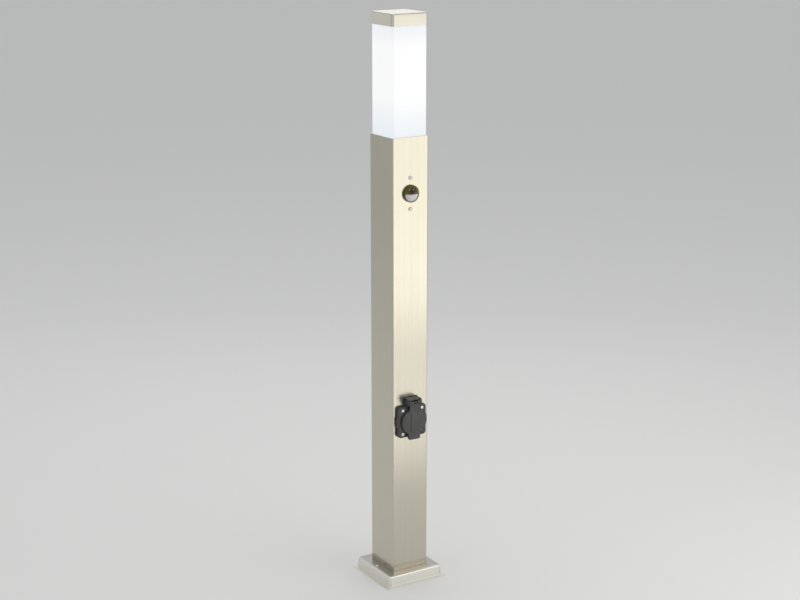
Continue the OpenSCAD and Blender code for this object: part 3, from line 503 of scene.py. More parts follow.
# Cover screws: two stainless pan head screws with a cross recess. They go down through the top of
# the base cover into threaded hexagon pillars on the ground plate.
def pan_screw(name, length, head_d, head_h, place, turn, paint, cad_node):
    """A pan head screw whose head stands on the plane z = 0 of its place."""
    thread_d = 4.0 * mm
    head_r = head_d / 2
    dome = arc((0.0, 0.0), 1.0, 90, 12, 8)
    profile = [(head_r * 0.98 * x, head_h * (0.42 + 0.58 * y)) for x, y in dome]
    profile[0] = (0.0, profile[0][1])
    profile += [(head_r, head_h * 0.4), (head_r, 0.12 * head_h), (head_r * 0.97, 0.0), (thread_d / 2, 0.0)]
    pitch = thread_d * 0.175
    depth = 0.0
    while depth + pitch < length - thread_d / 2:
        profile += [(thread_d / 2, -depth - 0.15 * pitch), (thread_d * 0.42, -depth - 0.55 * pitch)]
        depth += pitch
    profile += [(thread_d * 0.45, -depth - 0.3 * pitch), (thread_d * 0.2, -length), (0.0, -length)]
    screw = turned(name, profile, 40)
    for angle in (0, 90):
        arm = block("recess_arm", (-head_d * 0.27, -head_d * 0.06, head_h * 0.42),
                    (head_d * 0.27, head_d * 0.06, head_h * 1.5))
        arm.data.transform(Matrix.Rotation(math.radians(angle + turn), 4, "Z"))
        shaped(screw, arm)
    softened(screw)
    screw.data.transform(place)
    fitted(screw, paint, cad_node)


def turned_steel(name, colour, roughness):
    """Bright steel with the fine rings that a lathe or a header leaves."""
    paint, tree, shader = marked(name, colour, toned(colour, 0.82), roughness,
                                 spread=(-0.06, 0.10), size=220.0, depth=0.006 * mm, metallic=1.0)
    overlaid(shader, placed_effect(tree, worn_edge, Width=0.3 * mm)["Edge"], (0.90, 0.90, 0.88))
    return paint


screw_steel = turned_steel("screw_steel", (0.80, 0.80, 0.79), 0.22)
for name, side, turn in (("cover_screw_left", -1, 24), ("cover_screw_right", 1, 61)):
    pan_screw(name, 15.0 * mm, 7.6 * mm, 2.0 * mm, Matrix.Translation((side * cover_screw_x, 0, cover_top)),
              turn, screw_steel, "cover_screws")


# Terminals: a three pole block of pale plastic with brass clamping screws, on a zinc plated bracket
# that two aluminium rivets hold to the ground plate. A plastic saddle grips the supply cable.
def moulded_plastic(name, colour, roughness, depth=0.02 * mm):
    """Moulded plastic: a fine sparked skin, cloudy marks and edges rubbed a little paler."""
    paint, tree, shader = painted(name, colour, roughness)
    skin = on_piece(tree, "TexNoise", Scale=2600.0, Detail=2.0).outputs["Fac"]
    marks = placed_effect(tree, soft_marks, Size=45.0)
    edge = placed_effect(tree, worn_edge, Width=0.5 * mm)
    fed(shader, Base_Color=blended(tree, marks["Mask"], colour, toned(colour, 1.16, 0.006)),
        Roughness=ranged(tree, skin, roughness - 0.09, roughness + 0.09))
    overlaid(shader, edge["Edge"], toned(colour, 1.35, 0.007))
    embossed(shader, skin, depth)
    return paint


def bare_metal(name, colour, roughness):
    """Plain drawn or stamped metal with faint marks."""
    return marked(name, colour, toned(colour, 0.8), roughness,
                  spread=(-0.07, 0.12), size=160.0, depth=0.004 * mm, metallic=1.0)[0]


contact_brass = bare_metal("contact_brass", (0.72, 0.58, 0.28), 0.28)
dressed(moulded_plastic("terminal_plastic", (0.78, 0.76, 0.68), 0.48), "terminal_block", "cable_clamp")
dressed(contact_brass, "terminal_screws")
dressed(bare_metal("rivet_aluminium", (0.78, 0.78, 0.79), 0.34), "bracket_rivets")
dressed(screw_steel, "clamp_screws")


# Leads: three rubber sheathed leads inside the post, from the terminal block to the socket, to the
# sensor and up the back wall to the lamp. Each is one round drawn sheath and hangs free in between.
def swayed(a, b):
    """Points of a lead that sways from one upright run into another."""
    a, b = Vector(a), Vector(b)
    points = []
    for rise in [i / 16 for i in range(17)]:
        shift = rise * rise * (3 - 2 * rise)
        points.append(Vector((*a.xy.lerp(b.xy, shift), a.z + rise * (b.z - a.z))))
    return points


def drawn_tube(name, route, radius, side, around=16):
    """A round tube along a route, closed at both ends; side is a way that it never follows."""
    side = Vector(side)
    loops = []
    turns = [2 * math.pi * k / around for k in range(around)]
    for before, point, after in zip(route[:1] + route, route, route[1:] + route[-1:]):
        along = (after - before).normalized()
        across = (side - side.dot(along) * along).normalized()
        over = along.cross(across)
        loops.append([point + radius * (math.cos(a) * across + math.sin(a) * over) for a in turns])
    return from_loops(name, loops, closed=False)


lead_rubber = sealing_rubber("lead_rubber", (0.052, 0.052, 0.054), 0.6)
sensor_low, sensor_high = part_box("sensor_housing")
cup_low, cup_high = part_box("socket_cup")
sensor_z = (sensor_low.z + sensor_high.z) / 2
socket_z = (cup_low.z + cup_high.z) / 2
deck_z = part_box("lamp_holder")[0].z - 2.0 * mm
pole_pitch = 10.0 * mm
lead_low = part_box("terminal_block")[1].z
lead_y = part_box("terminal_bracket")[1].y - 8.0 * mm
lead_leaned = lead_y - 4.0 * mm
branch_lead_r = 2.5 * mm


def branch_route(side, z, back):
    """From the terminal block up beside the back wall, then in a bend forward into a hole."""
    x = side * pole_pitch
    corner = Vector((x, lead_y, z))
    start = Vector((x, lead_y, z - 1.5 * (lead_y - back)))
    end = Vector((x / 2, (lead_y + back) / 2, z))
    curve = [start.lerp(corner, t).lerp(corner.lerp(end, t), t) for t in [i / 12 for i in range(13)]]
    return [Vector((x, lead_y, lead_low))] + curve + [Vector((0, back + 6 * mm, z)), Vector((0, back, z))]


lamp_route = ([Vector((0, lead_y, lead_low))]
              + swayed((0, lead_y, lead_low + 10 * mm), (0, lead_leaned, lead_low + 50 * mm))
              + swayed((0, lead_leaned, deck_z - 90 * mm), (0, 0, deck_z - 20 * mm))
              + [Vector((0, 0, deck_z + 2 * mm))])
for lead_name, radius, route in (
        ("lamp_lead", 3.0 * mm, lamp_route),
        ("sensor_lead", branch_lead_r, branch_route(1, sensor_z, sensor_high.y)),
        ("socket_lead", branch_lead_r, branch_route(-1, socket_z, cup_high.y))):
    sheath = drawn_tube(lead_name + "_sheath", route, radius, (1, 0, 0.2))
    softened(sheath)
    fitted(sheath, lead_rubber, lead_name)


# Post tube: a square stainless tube, brushed along its length, with round cut-outs for the socket
# and the sensor. Its foot passes through the base cover and is welded to it from below.
def wall_place(z):
    """The frame of the tube's front face at a height: x across, y up, z out of the wall."""
    axes = Matrix(((1, 0, 0, 0), (0, 0, -1, 0), (0, 1, 0, 0), (0, 0, 0, 1)))
    return Matrix.Translation((0, -tube_half, z)) @ axes


tube_wall = 2.0 * mm
tube_corner = 4.0 * mm
inner_corner = 2.5 * mm
rim_soft = 0.35 * mm
rim_cut = 0.3 * rim_soft
tube_in = tube_half - tube_wall
tube_loops = [
    (tube_half, tube_low.z, tube_corner), (tube_half, tube_high.z - rim_soft, tube_corner),
    (tube_half - rim_cut, tube_high.z - rim_cut, tube_corner - rim_cut),
    (tube_half - rim_soft, tube_high.z, tube_corner - rim_soft),
    (tube_in + rim_soft, tube_high.z, inner_corner + rim_soft),
    (tube_in, tube_high.z - rim_soft, inner_corner), (tube_in, tube_low.z, inner_corner)]
post_shell = square_form("post_shell", tube_loops, 12)

socket_screw_x, socket_screw_y = 21.2 * mm, 23.4 * mm
socket_corners = [(x * socket_screw_x, y * socket_screw_y) for x in (-1, 1) for y in (-1, 1)]
sensor_screw_y = 29.5 * mm
sensor_rim_r = 16.3 * mm
screw_hole_r = 2.1 * mm
socket_hole_r = 24.3 * mm
sensor_hole_r = sensor_rim_r + 0.3 * mm
wall_cuts = [(socket_z, 0, 0, socket_hole_r)] + [(socket_z, x, y, screw_hole_r) for x, y in socket_corners]
wall_cuts += [(sensor_z, 0, 0, sensor_hole_r)]
wall_cuts += [(sensor_z, 0, y, screw_hole_r) for y in (-sensor_screw_y, sensor_screw_y)]
for z, x, y, radius in wall_cuts:
    drilled(post_shell, radius, -2 * tube_wall, tube_wall, x, y, place=wall_place(z))
head_screw_x = 20.0 * mm
head_screw_place = Matrix.Rotation(math.pi, 4, "Z") @ wall_place(tube_high.z - 9.0 * mm)
for x in (head_screw_x, -head_screw_x):
    drilled(post_shell, screw_hole_r, -2 * tube_wall, tube_wall, x, place=head_screw_place)
softened(post_shell)
post_steel, post_tree, post_shader = satin_steel(
    "post_steel", (0.61, 0.58, 0.492), 0.22, (1300.0, 1300.0, 9.0), 0.0025 * mm)
# Painted shade and heat tint: the post is painted darker and browner towards the cover, fully over its
# lowest 7 mm and fading out by 14 mm, partly the weld's heat tint and partly painted shade at its foot.
foot_shade_and_heat_tint = height_mask(post_tree, cover_top + 14.0 * mm, cover_top + 7.0 * mm)
overlaid(post_shader, foot_shade_and_heat_tint, (0.42, 0.39, 0.32))
fitted(post_shell, post_steel, "post_tube")


# Socket front: moulded in dark grey plastic, with a square flange that swells round in the middle,
# a collar round the well and a hinge block above it. Four screws and a gasket hold it to the post.
def hung(piece, z, paint, cad_node, body="post"):
    """Takes a piece that was made in the front face's frame to its height there, and fits it."""
    piece.data.transform(wall_place(z))
    fitted(piece, paint, cad_node, body)


def rounded(reach, top, radius, steps=4):
    """The rounded outer edge of a turned form, from its side up to its top."""
    return arc((reach - radius, top - radius), radius, 0, 90, steps)


def prism(name, outline, low, high):
    """A straight form over a closed outline, from one height to another."""
    return from_loops(name, [[(x, y, z) for x, y in outline] for z in (low, high)], closed=False)


def side_prism(name, outline, half_width):
    """A straight form across the wall, over an outline seen from the side: up, then out."""
    form = prism(name, outline, -half_width, half_width)
    form.data.transform(Matrix(((0, 0, 1, 0), (1, 0, 0, 0), (0, 1, 0, 0), (0, 0, 0, 1))))
    return form


socket_gasket = 1.5 * mm
socket_face = 8.5 * mm
well_rim = socket_face + 2.0 * mm
flange_half_w = 31.0 * mm
swell_r = 33.25 * mm
hinge_half = 13.3 * mm
ear_in = 11.0 * mm
hinge_up = 40.5 * mm
hinge_out = 17.0 * mm
hinge_top = 47.0 * mm
roof_low = 45.4 * mm
roof_front = 19.6 * mm
roof_round = 1.5 * mm
ear_foot = 33.0 * mm
insert_r = 21.5 * mm
throat_r = 24.0 * mm
collar_r = 23.5 * mm
throat_back = -14.0 * mm
flange_corner_r = 6.5 * mm
edge_r = 2.2 * mm
head_room_r = 3.9 * mm
swell_profile = [(0, socket_gasket), (swell_r, socket_gasket)]
swell_profile += rounded(swell_r, socket_face, edge_r) + [(0, socket_face)]
flange_loops = [(flange_half_w, socket_gasket, flange_corner_r)]
flange_loops += bend_loops(flange_half_w - flange_corner_r, (flange_half_w - edge_r, socket_face - edge_r),
                           edge_r, 0, 90, 4)
socket_front = square_form("socket_front", flange_loops, 10, closed=False)
shaped(socket_front, turned("swell", swell_profile, 96), "UNION")
shaped(socket_front, turned("throat", [(0, throat_back), (throat_r, throat_back), (throat_r, 2 * mm),
                                       (collar_r, 2 * mm), (collar_r, well_rim - 0.4 * mm),
                                       (collar_r - 0.4 * mm, well_rim), (0, well_rim)], 96), "UNION")
shaped(socket_front, block("hinge_foot", (-hinge_half, 20 * mm, socket_gasket),
                           (hinge_half, hinge_top, socket_face)), "UNION")
hinge_outline = [(ear_foot, socket_face - mm), (ear_foot, hinge_out - 3 * mm),
                 (hinge_up - 4 * mm, roof_front), (hinge_up, roof_front + 0.6 * mm)]
hinge_outline += arc((hinge_top - roof_round, roof_front - roof_round), roof_round, 90, 0, 4)
hinge_outline.append((hinge_top, socket_face - mm))
shaped(socket_front, side_prism("hinge_block", hinge_outline, hinge_half), "UNION")
drilled(socket_front, insert_r + 0.1 * mm, throat_back - mm, 40 * mm, around=96)
for x, y in socket_corners:
    drilled(socket_front, screw_hole_r, 0, well_rim, x, y, 32)
    drilled(socket_front, head_room_r, socket_face - mm, well_rim, x, y, 40)
knuckle_r = 3.6 * mm
pin_fit_r = 1.52 * mm
pin_play = 0.06 * mm
knuckle_back = hinge_out - knuckle_r - 0.9 * mm
shaped(socket_front, block("knuckle_room", (-ear_in, ear_foot - 20 * mm, knuckle_back),
                           (ear_in, roof_low, 40 * mm)))
along_pin = Matrix.Translation((0, hinge_up, hinge_out)) @ Matrix.Rotation(math.pi / 2, 4, "Y")
drilled(socket_front, pin_fit_r, -17 * mm, 17 * mm, around=32, place=along_pin)
softened(socket_front, 0.3 * mm, 40.0)
socket_plastic = moulded_plastic("socket_plastic", (0.055, 0.055, 0.056), 0.46)
hung(socket_front, socket_z, socket_plastic, "socket_housing")


# Socket insert and cup: black mouldings inside the front. The insert is the plug's well with two
# guide ribs, two pin holes and slots for the earth clips, and the cup closes the back.
insert_plastic = moulded_plastic("insert_plastic", (0.040, 0.040, 0.042), 0.42)
well_r = 19.5 * mm
well_bottom = well_rim - 17.5 * mm
insert_back = well_bottom - 5.0 * mm
pin_x = 9.5 * mm
rib_half = 2.3 * mm
rib_in = well_r - 2.4 * mm
outer_round, mouth_round, floor_round = 0.5 * mm, 0.7 * mm, 0.8 * mm
insert_profile = [(0, insert_back), (insert_r, insert_back), (insert_r, well_rim - outer_round)]
insert_profile += rounded(insert_r, well_rim, outer_round)
insert_profile += arc((well_r + mouth_round, well_rim - mouth_round), mouth_round, 90, 180, 4)
insert_profile += arc((well_r - floor_round, well_bottom + floor_round), floor_round, 0, -90, 4)
insert_profile.append((0, well_bottom))
well_insert = turned("well_insert", insert_profile, 96)
for side in (-1, 1):
    shaped(well_insert, block("guide_rib", (side * rib_in, -rib_half, well_bottom - mm),
                              (side * (well_r + 0.8 * mm), rib_half, well_rim - mm)), "UNION")
    shaped(well_insert, round_cutter(5 * mm, -30 * mm, insert_back + mm, side * pin_x, 0, 32), "UNION")
pin_r, mouth_r = 2.6 * mm, 3.4 * mm
for side in (-1, 1):
    mouth = turned("pin_mouth", [(0, -31 * mm), (pin_r, -31 * mm), (pin_r, well_bottom - 0.8 * mm),
                                 (mouth_r, well_bottom + 0.01 * mm), (mouth_r, well_bottom + mm),
                                 (0, well_bottom + mm)], 32)
    mouth.data.transform(Matrix.Translation((side * pin_x, 0, 0)))
    shaped(well_insert, mouth)
    slot_y = side * (well_r - mm)
    shaped(well_insert, block("clip_slot", (-2.6 * mm, slot_y - 1.9 * mm, well_bottom - 3 * mm),
                              (2.6 * mm, slot_y + 1.9 * mm, well_rim + mm)))
softened(well_insert, 0.15 * mm, 50.0)
hung(well_insert, socket_z, insert_plastic, "socket_insert")
dressed(insert_plastic, "socket_cup")
dressed(contact_brass, "contact_sleeves")
spring_steel = turned_steel("spring_steel", (0.70, 0.70, 0.71), 0.20)
dressed(spring_steel, "earth_clips")


# Socket screws: four small pan head screws in round recesses at the flange's corners. Three have
# bright heads, and the one at the lower right is blackened, as no bright head shows there.
dark_screw_steel = turned_steel("dark_screw_steel", (0.10, 0.10, 0.10), 0.36)
for (x, y), turn in zip(socket_corners, (15, 52, 33, 70)):
    corner = ("upper_" if y > 0 else "lower_") + ("right" if x > 0 else "left")
    pan_screw("socket_screw_" + corner, 14.5 * mm, 7.2 * mm, 2.2 * mm,
              wall_place(socket_z) @ Matrix.Translation((x, y, socket_face - mm)), turn,
              dark_screw_steel if corner == "lower_right" else screw_steel, "socket_screws")


# Socket lid: a round cap in the same grey plastic with a raised band down its middle, a finger tab
# below and two knuckles above. It turns on a steel pin, and a torsion spring shuts it.
lid_r = 26.0 * mm
lid_low = socket_face + 0.5 * mm
lid_top = lid_low + 5.5 * mm
lid_wall = 2.0 * mm
band_half = 6.4 * mm
band_top = lid_top + 0.8 * mm
tab_half = 12.4 * mm
tab_corner = 4.0 * mm
tab_reach = 35.0 * mm
lid_half = ear_in - 0.3 * mm
strap_back = hinge_out - knuckle_r
strap_front = hinge_out + 0.5 * mm
lid_round = 1.6 * mm
lid_break = 0.3 * mm
lid_profile = [(0, lid_low), (lid_r - lid_break, lid_low), (lid_r, lid_low + lid_break)]
lid_profile += rounded(lid_r, lid_top, lid_round, 6) + [(0, lid_top)]
lid_cap = turned("lid_cap", lid_profile, 96)
band_reach = lid_r - 0.5 * mm
spread = math.degrees(math.asin(band_half / band_reach))
band_outline = arc((0.0, 0.0), band_reach, 90 - spread, 90 + spread, 12)
band_outline += arc((0.0, 0.0), band_reach, 270 - spread, 270 + spread, 12)
shaped(lid_cap, prism("lid_band", band_outline, lid_top - mm, band_top), "UNION")
tab_top = lid_top + lid_round
tab_outline = [(-lid_r + 5 * mm, lid_low + 1.5 * mm), (-tab_reach + mm, lid_low + 2 * mm),
               (-tab_reach, lid_low + 3 * mm), (-tab_reach + 0.5 * mm, tab_top),
               (-tab_reach + 2 * mm, tab_top + 0.5 * mm), (-lid_r - 2 * mm, tab_top),
               (-lid_r + 8 * mm, lid_top - 0.2 * mm)]
lid_tab = side_prism("lid_tab", tab_outline, tab_half)
tab_long = 14.0 * mm
tab_trim = [(x * tab_half / tab_long, y - tab_reach + tab_long)
            for x, y, _ in square_loop(tab_long, tab_corner, 0.0, 6)]
shaped(lid_tab, prism("tab_trim", tab_trim, 0, 40 * mm), "INTERSECT")
shaped(lid_cap, lid_tab, "UNION")
strap_outline = [(lid_r - 6 * mm, strap_back), (hinge_up, strap_back), (hinge_up, strap_front),
                 (lid_r + 3 * mm, strap_front), (lid_r - 3 * mm, tab_top),
                 (lid_r - 10 * mm, lid_top - 0.2 * mm)]
shaped(lid_cap, side_prism("lid_strap", strap_outline, lid_half), "UNION")
knuckle = round_cutter(knuckle_r, -lid_half, lid_half, around=48)
knuckle.data.transform(along_pin)
shaped(lid_cap, knuckle, "UNION")
drilled(lid_cap, lid_r - lid_wall, lid_low - mm, lid_top - lid_wall, around=96)
drilled(lid_cap, pin_fit_r + pin_play, -lid_half - mm, lid_half + mm, around=32, place=along_pin)
spring_half = 4.6 * mm
coil_r = 2.45 * mm
shaped(lid_cap, block("coil_window", (-spring_half, hinge_up - coil_r - mm, strap_back - mm),
                      (spring_half, hinge_up + knuckle_r + 2 * mm, strap_back + 2 * knuckle_r + mm)))
shaped(lid_cap, block("leg_pocket", (-spring_half, hinge_up - 9 * mm, strap_back + mm),
                      (spring_half, hinge_up - mm, strap_front - 1.5 * mm)))
softened(lid_cap, 0.35 * mm, 40.0)
hung(lid_cap, socket_z, socket_plastic, "socket_lid", "lid")


# Hinge pin and spring: a blackened steel pin pressed into the ears, with a torsion spring wound
# round it. One leg lies in the lid, the other on the hinge block, and the turns between wind up.
spring_dark = bare_metal("spring_dark", (0.20, 0.19, 0.18), 0.34)
dressed(spring_dark, "hinge_pin")
wire_r = 0.4 * mm
spring_turns = 5
steps_a_turn = 20
coil_reach = spring_half - 2 * wire_r - 0.6 * mm
coil_step = 2 * coil_reach / (spring_turns * steps_a_turn)
spring_route = [Vector((coil_reach, hinge_up - 8 * mm, hinge_out - coil_r))]
for i in range(spring_turns * steps_a_turn + 1):
    angle = 2 * math.pi * i / steps_a_turn
    spring_route.append(Vector((coil_reach - coil_step * i, hinge_up + coil_r * math.sin(angle),
                                hinge_out - coil_r * math.cos(angle))))
spring_route.append(Vector((-coil_reach, roof_low - 1.2 * mm, knuckle_back + wire_r + 0.1 * mm)))
lid_coil = drawn_tube("lid_coil", spring_route, wire_r, (1, 0, 0), 10)
softened(lid_coil)
lid_coil.data.transform(wall_place(socket_z))
lid_coil.data.materials.append(spring_dark)
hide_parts("lid_spring")
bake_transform(lid_coil)


# Motion sensor: a dark olive can with a screw plate, pushed through the post's wall from inside,
# and held by two pan head screws above and below its rim.
can_r = 17.3 * mm
can_back = -30.0 * mm
rim_out = 5.0 * mm
rim_wall = 1.5 * mm
plate_back = -5.8 * mm
rim_round = 1.1 * mm
boss_r = 4.5 * mm
can_room_r = 14.0 * mm
lead_hole_r = 2.0 * mm
can_profile = [(0, can_back), (can_r, can_back), (can_r, plate_back + mm)]
can_profile += [(sensor_rim_r, plate_back + 2 * mm)]
can_profile += rounded(sensor_rim_r, rim_out, rim_round, 6) + [(0, rim_out)]
sensor_can = turned("sensor_can", can_profile, 96)
plate_front = plate_back + 3.0 * mm
plate_half = 7.5 * mm
shaped(sensor_can, round_cutter(can_r + 2.5 * mm, plate_back, plate_front), "UNION")
shaped(sensor_can, block("screw_plate", (-plate_half, -sensor_screw_y, plate_back),
                         (plate_half, sensor_screw_y, plate_front)), "UNION")
for y in (-sensor_screw_y, sensor_screw_y):
    shaped(sensor_can, round_cutter(plate_half, plate_back, plate_front, 0, y), "UNION")
    shaped(sensor_can, round_cutter(boss_r, plate_front - 9 * mm, plate_front, 0, y, 40), "UNION")
drilled(sensor_can, sensor_rim_r - rim_wall, -4 * mm, 20 * mm, around=96)
drilled(sensor_can, can_room_r, can_back + 2 * mm, 0)
drilled(sensor_can, lead_hole_r, can_back - mm, can_back + 3 * mm, around=24)
for y in (-sensor_screw_y, sensor_screw_y):
    drilled(sensor_can, screw_hole_r, plate_front - 8 * mm, 10 * mm, 0, y, 32)
softened(sensor_can, 0.12 * mm, 50.0)
can_plastic = moulded_plastic("can_plastic", (0.092, 0.084, 0.008), 0.30, 0.006 * mm)
fed(can_plastic.node_tree.nodes["Principled BSDF"], Specular_IOR_Level=0.30)
hung(sensor_can, sensor_z, can_plastic, "sensor_housing")


# Sensor lens, hood and windows: a milky lens moulded with shallow facets, a smoked olive hood that
# clips over its upper half, and two clear windows in the hood for the light sensor.
lens_base = rim_out - mm
lens_base_r = sensor_rim_r - rim_wall - 0.8 * mm
lens_out = 12.0 * mm
lens_rise = lens_out - lens_base
lens_r = (lens_base_r ** 2 + lens_rise ** 2) / (2 * lens_rise)
lens_centre = lens_out - lens_r
lens_wall = 1.2 * mm


def dome_profile(outer, wall, reach):
    """Half section of a dome out to a reach: over the outside, then back along the inside."""
    steps = 16
    span = math.degrees(math.asin(reach / outer))
    inner = outer - wall
    inner_span = math.degrees(math.asin(min(1.0, reach / inner)))
    outside = arc((0.0, lens_centre), outer, 90, 90 - span, steps)
    inside = arc((0.0, lens_centre), inner, 90 - inner_span, 90, steps)
    outside[0], inside[-1] = (0.0, outside[0][1]), (0.0, inside[-1][1])
    return outside, inside


lens_outside, lens_inside = dome_profile(lens_r, lens_wall, lens_base_r)
skirt_r = sensor_rim_r - rim_wall - 0.2 * mm
skirt_in = lens_base_r - 1.4 * mm
lens_profile = lens_outside + [(skirt_r, lens_base), (skirt_r, -4 * mm), (skirt_in, -4 * mm),
                               (skirt_in, lens_inside[0][1])]
lens_profile += [point for point in lens_inside if point[0] < skirt_in - 0.1 * mm]
milky_lens = turned("milky_lens", lens_profile, 96)
softened(milky_lens)
lens_paint, lens_tree, lens_shader = painted("lens_milky", (0.66, 0.64, 0.70), 0.34)
facets = on_piece(lens_tree, "TexVoronoi", Scale=420.0).outputs["Distance"]
facet_mask = ranged(lens_tree, facets, 0.0, 1.0, 0.2, 0.9)
fed(lens_shader, Base_Color=blended(lens_tree, facet_mask, (0.80, 0.78, 0.82), (0.64, 0.62, 0.66)),
    Roughness=ranged(lens_tree, facets, 0.26, 0.42),
    Subsurface_Weight=0.15, Subsurface_Radius=(2 * mm, 2 * mm, 2 * mm))
embossed(lens_shader, facets, 0.12 * mm)
hung(milky_lens, sensor_z, lens_paint, "sensor_lens")

hood_wall = 1.3 * mm
hood_outer = lens_r + 0.3 * mm + hood_wall
hood_edge = 0.6 * mm
window_hole_r = 1.3 * mm
window_spots = [(-7.5 * mm, 8.7 * mm), (-0.8 * mm, 8.7 * mm)]
hood_outside, hood_inside = dome_profile(hood_outer, hood_wall, skirt_r)
hood_floor = lens_base + 0.2 * mm
hood_in = hood_inside[0][0]
hood_profile = [point for point in hood_outside if point[1] > hood_floor]
hood_profile += [(skirt_r, hood_floor), (hood_in * 0.97, hood_floor)]
hood_profile += [point for point in hood_inside if point[1] > hood_floor and point[0] < hood_in * 0.96]
smoked_hood = turned("smoked_hood_shell", hood_profile, 96)
shaped(smoked_hood, block("hood_trim", (-30 * mm, hood_edge - 40 * mm, -5 * mm),
                          (30 * mm, hood_edge, 20 * mm)))
for x, y in window_spots:
    drilled(smoked_hood, window_hole_r, 0, 20 * mm, x, y, 32)
softened(smoked_hood, 0.1 * mm, 45.0)
hood_paint, hood_tree, hood_shader = marked(
    "hood_smoked", (0.175, 0.142, 0.006), (0.110, 0.088, 0.006), 0.14,
    spread=(-0.06, 0.06), size=120.0, depth=0.004 * mm)
# Painted shade: a dark red-brown patch round the windows stands for the dark inside of the sensor, seen
# through the smoked hood.
inside_shade_middle = wall_place(sensor_z) @ Vector((-3.5 * mm, 6.0 * mm, lens_out))
inside_shade_reach = worked(hood_tree, "DISTANCE", own_space(hood_tree), inside_shade_middle, kind="VectorMath")
inside_shade_mask = ranged(hood_tree, inside_shade_reach, 1.0, 0.0, 3.5 * mm, 10.0 * mm)
overlaid(hood_shader, inside_shade_mask, (0.050, 0.028, 0.020))
fed(hood_shader, Specular_IOR_Level=0.28, Transmission_Weight=0.12)
hung(smoked_hood, sensor_z, hood_paint, "sensor_hood")

window_paint = marked("window_clear", (0.50, 0.46, 0.44), (0.34, 0.30, 0.28), 0.08,
                      spread=(-0.04, 0.04), size=400.0)[0]
for number, (x, y) in enumerate(window_spots):
    depth = math.sqrt(hood_outer ** 2 - x * x - y * y) + lens_centre
    lens_button = turned("hood_window_" + str(number + 1), [
        (0, depth - 1.2 * mm), (1.24 * mm, depth - 1.2 * mm), (1.24 * mm, depth - 0.1 * mm),
        (1.0 * mm, depth + 0.12 * mm), (0.6 * mm, depth + 0.24 * mm), (0, depth + 0.28 * mm)], 32)
    lens_button.data.transform(Matrix.Translation((x, y, 0)))
    softened(lens_button)
    hung(lens_button, sensor_z, window_paint, "hood_windows")

warm_screw_steel = turned_steel("warm_screw_steel", (0.84, 0.81, 0.72), 0.36)
for name, end, turn in (("sensor_screw_upper", 1, 38), ("sensor_screw_lower", -1, 12)):
    place = wall_place(sensor_z) @ Matrix.Translation((0, end * sensor_screw_y, 0))
    pan_screw(name, 9.0 * mm, 8.0 * mm, 2.4 * mm, place, turn, warm_screw_steel, "sensor_screws")


# Sensor board: a round green circuit board in the can with the metal detector can, the small light
# sensor behind the hood's windows and a blue relay soldered to its back.
board_green = (0.03, 0.18, 0.08)
board_paint, board_tree, board_shader = painted("board_green", board_green, 0.34)
tracks = on_piece(board_tree, "TexBrick", Scale=260.0, Mortar_Size=0.03, Brick_Width=0.9, Row_Height=0.35)
fed(board_shader, Base_Color=blended(board_tree, tracks.outputs["Fac"], board_green, (0.08, 0.32, 0.14)))
embossed(board_shader, tracks.outputs["Fac"], 0.03 * mm)
dressed(board_paint, "sensor_board")
dressed(spring_steel, "motion_detector")
dressed(window_paint, "light_sensor")
dressed(moulded_plastic("relay_plastic", (0.06, 0.14, 0.36), 0.3, 0.006 * mm), "sensor_relay")


# Lamp: a white glazed holder screwed to the deck in the top of the tube, with a plated shell and a
# sprung brass tongue, and in it a screw-in lamp with a white body and an opal globe.
ceramic_paint = marked("glazed_ceramic", (0.85, 0.84, 0.80), (0.78, 0.77, 0.72), 0.16,
                       spread=(-0.06, 0.08), size=70.0)[0]
fed(ceramic_paint.node_tree.nodes["Principled BSDF"], Coat_Weight=0.5)
dressed(ceramic_paint, "lamp_holder")
dressed(contact_brass, "holder_shell", "holder_contact")
dressed(screw_steel, "holder_screws")
dressed(bare_metal("lamp_plating", (0.75, 0.74, 0.72), 0.2), "lamp_screw_cap")
dressed(moulded_plastic("lamp_plastic", (0.86, 0.86, 0.85), 0.34, 0.006 * mm), "lamp_body")
globe_paint, globe_tree, globe_shader = painted("lamp_opal", (0.93, 0.93, 0.91), 0.3)
globe_marks = placed_effect(globe_tree, soft_marks, Size=30.0)
fed(globe_shader, Emission_Strength=1.0, Roughness=ranged(globe_tree, globe_marks["Fine"], 0.24, 0.36),
    Emission_Color=blended(globe_tree, globe_marks["Mask"], (1.0, 1.0, 1.0), (0.90, 0.94, 1.0)))
dressed(globe_paint, "lamp_globe")


# Diffuser: a square tube of opal acrylic with softly rounded corners, lit from inside. Its foot
# stands in the post on a seal, and two screws through the back of the post hold it.
diffuser_low, diffuser_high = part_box("diffuser")
diffuser_half = diffuser_high.x
acrylic = 3.0 * mm
acrylic_corner = 4.0 * mm
acrylic_soft = 0.4 * mm
diffuser_loops = [
    (diffuser_half, diffuser_low.z + acrylic_soft, acrylic_corner),
    (diffuser_half, diffuser_high.z - acrylic_soft, acrylic_corner),
    (diffuser_half - acrylic_soft, diffuser_high.z, acrylic_corner - acrylic_soft),
    (diffuser_half - acrylic, diffuser_high.z, acrylic_corner - acrylic),
    (diffuser_half - acrylic, diffuser_low.z, acrylic_corner - acrylic),
    (diffuser_half - acrylic_soft, diffuser_low.z, acrylic_corner - acrylic_soft)]
opal_tube = square_form("opal_tube", diffuser_loops, 10)
for x in (head_screw_x, -head_screw_x):
    drilled(opal_tube, screw_hole_r, -8 * mm, 2 * mm, x, around=32, place=head_screw_place)
softened(opal_tube)
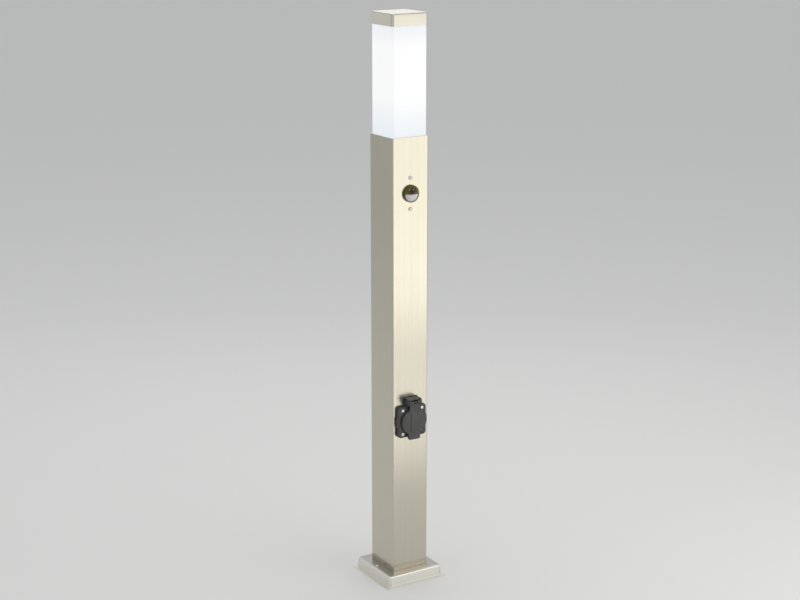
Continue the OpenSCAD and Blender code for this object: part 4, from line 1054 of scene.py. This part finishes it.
opal_paint, opal_tree, opal_shader = marked(
    "opal_lit", (0.22, 0.223, 0.226), (0.20, 0.203, 0.206), 0.28,
    spread=(-0.06, 0.06), size=14.0, depth=0.008 * mm)
lit_from_foot = height_mask(opal_tree, tube_high.z, tube_high.z + 75 * mm)
lit_from_top = height_mask(opal_tree, diffuser_high.z - 12 * mm, diffuser_high.z - 60 * mm)
lit_both = worked(opal_tree, "MULTIPLY", lit_from_foot, lit_from_top)
fed(opal_shader, Emission_Strength=1.0,
    Emission_Color=blended(opal_tree, lit_both, (0.645, 0.685, 0.73), (0.78, 0.785, 0.785)))
fitted(opal_tube, opal_paint, "diffuser")

for name, x, turn in (("head_screw_left", head_screw_x, 20), ("head_screw_right", -head_screw_x, 65)):
    pan_screw(name, 7.0 * mm, 7.6 * mm, 2.2 * mm, head_screw_place @ Matrix.Translation((x, 0, 0)),
              turn, screw_steel, "head_screws")


# Top cap: a square stainless lid with soft folded edges and a turned-down rim. It slips over the
# diffuser on a rubber seal and is bonded there, brushed like the post.
cap_low, cap_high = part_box("top_cap")
cap_half = cap_high.x
cap_sheet = 1.4 * mm
cap_fold = 2.4 * mm
cap_corner = 5.0 * mm
cap_break = 0.25 * mm
cap_inset = cap_half - cap_corner
fold_middle = (cap_half - cap_fold, cap_high.z - cap_fold)
cap_loops = [(cap_half - cap_sheet, cap_low.z, cap_corner - cap_sheet),
             (cap_half - cap_break, cap_low.z, cap_corner - cap_break),
             (cap_half, cap_low.z + cap_break, cap_corner)]
cap_loops += bend_loops(cap_inset, fold_middle, cap_fold, 0, 90, 8)
cap_shell = square_form("cap_shell", cap_loops, closed=False)
room_loops = [(cap_half - cap_sheet, cap_low.z - mm, cap_corner - cap_sheet)]
room_loops += bend_loops(cap_inset, fold_middle, cap_fold - cap_sheet, 0, 90, 6)
shaped(cap_shell, square_form("cap_room", room_loops, closed=False))
softened(cap_shell)
cap_steel = satin_steel("cap_steel", (0.66, 0.632, 0.56), 0.28, (12.0, 1400.0, 1400.0))[0]
fitted(cap_shell, cap_steel, "top_cap")
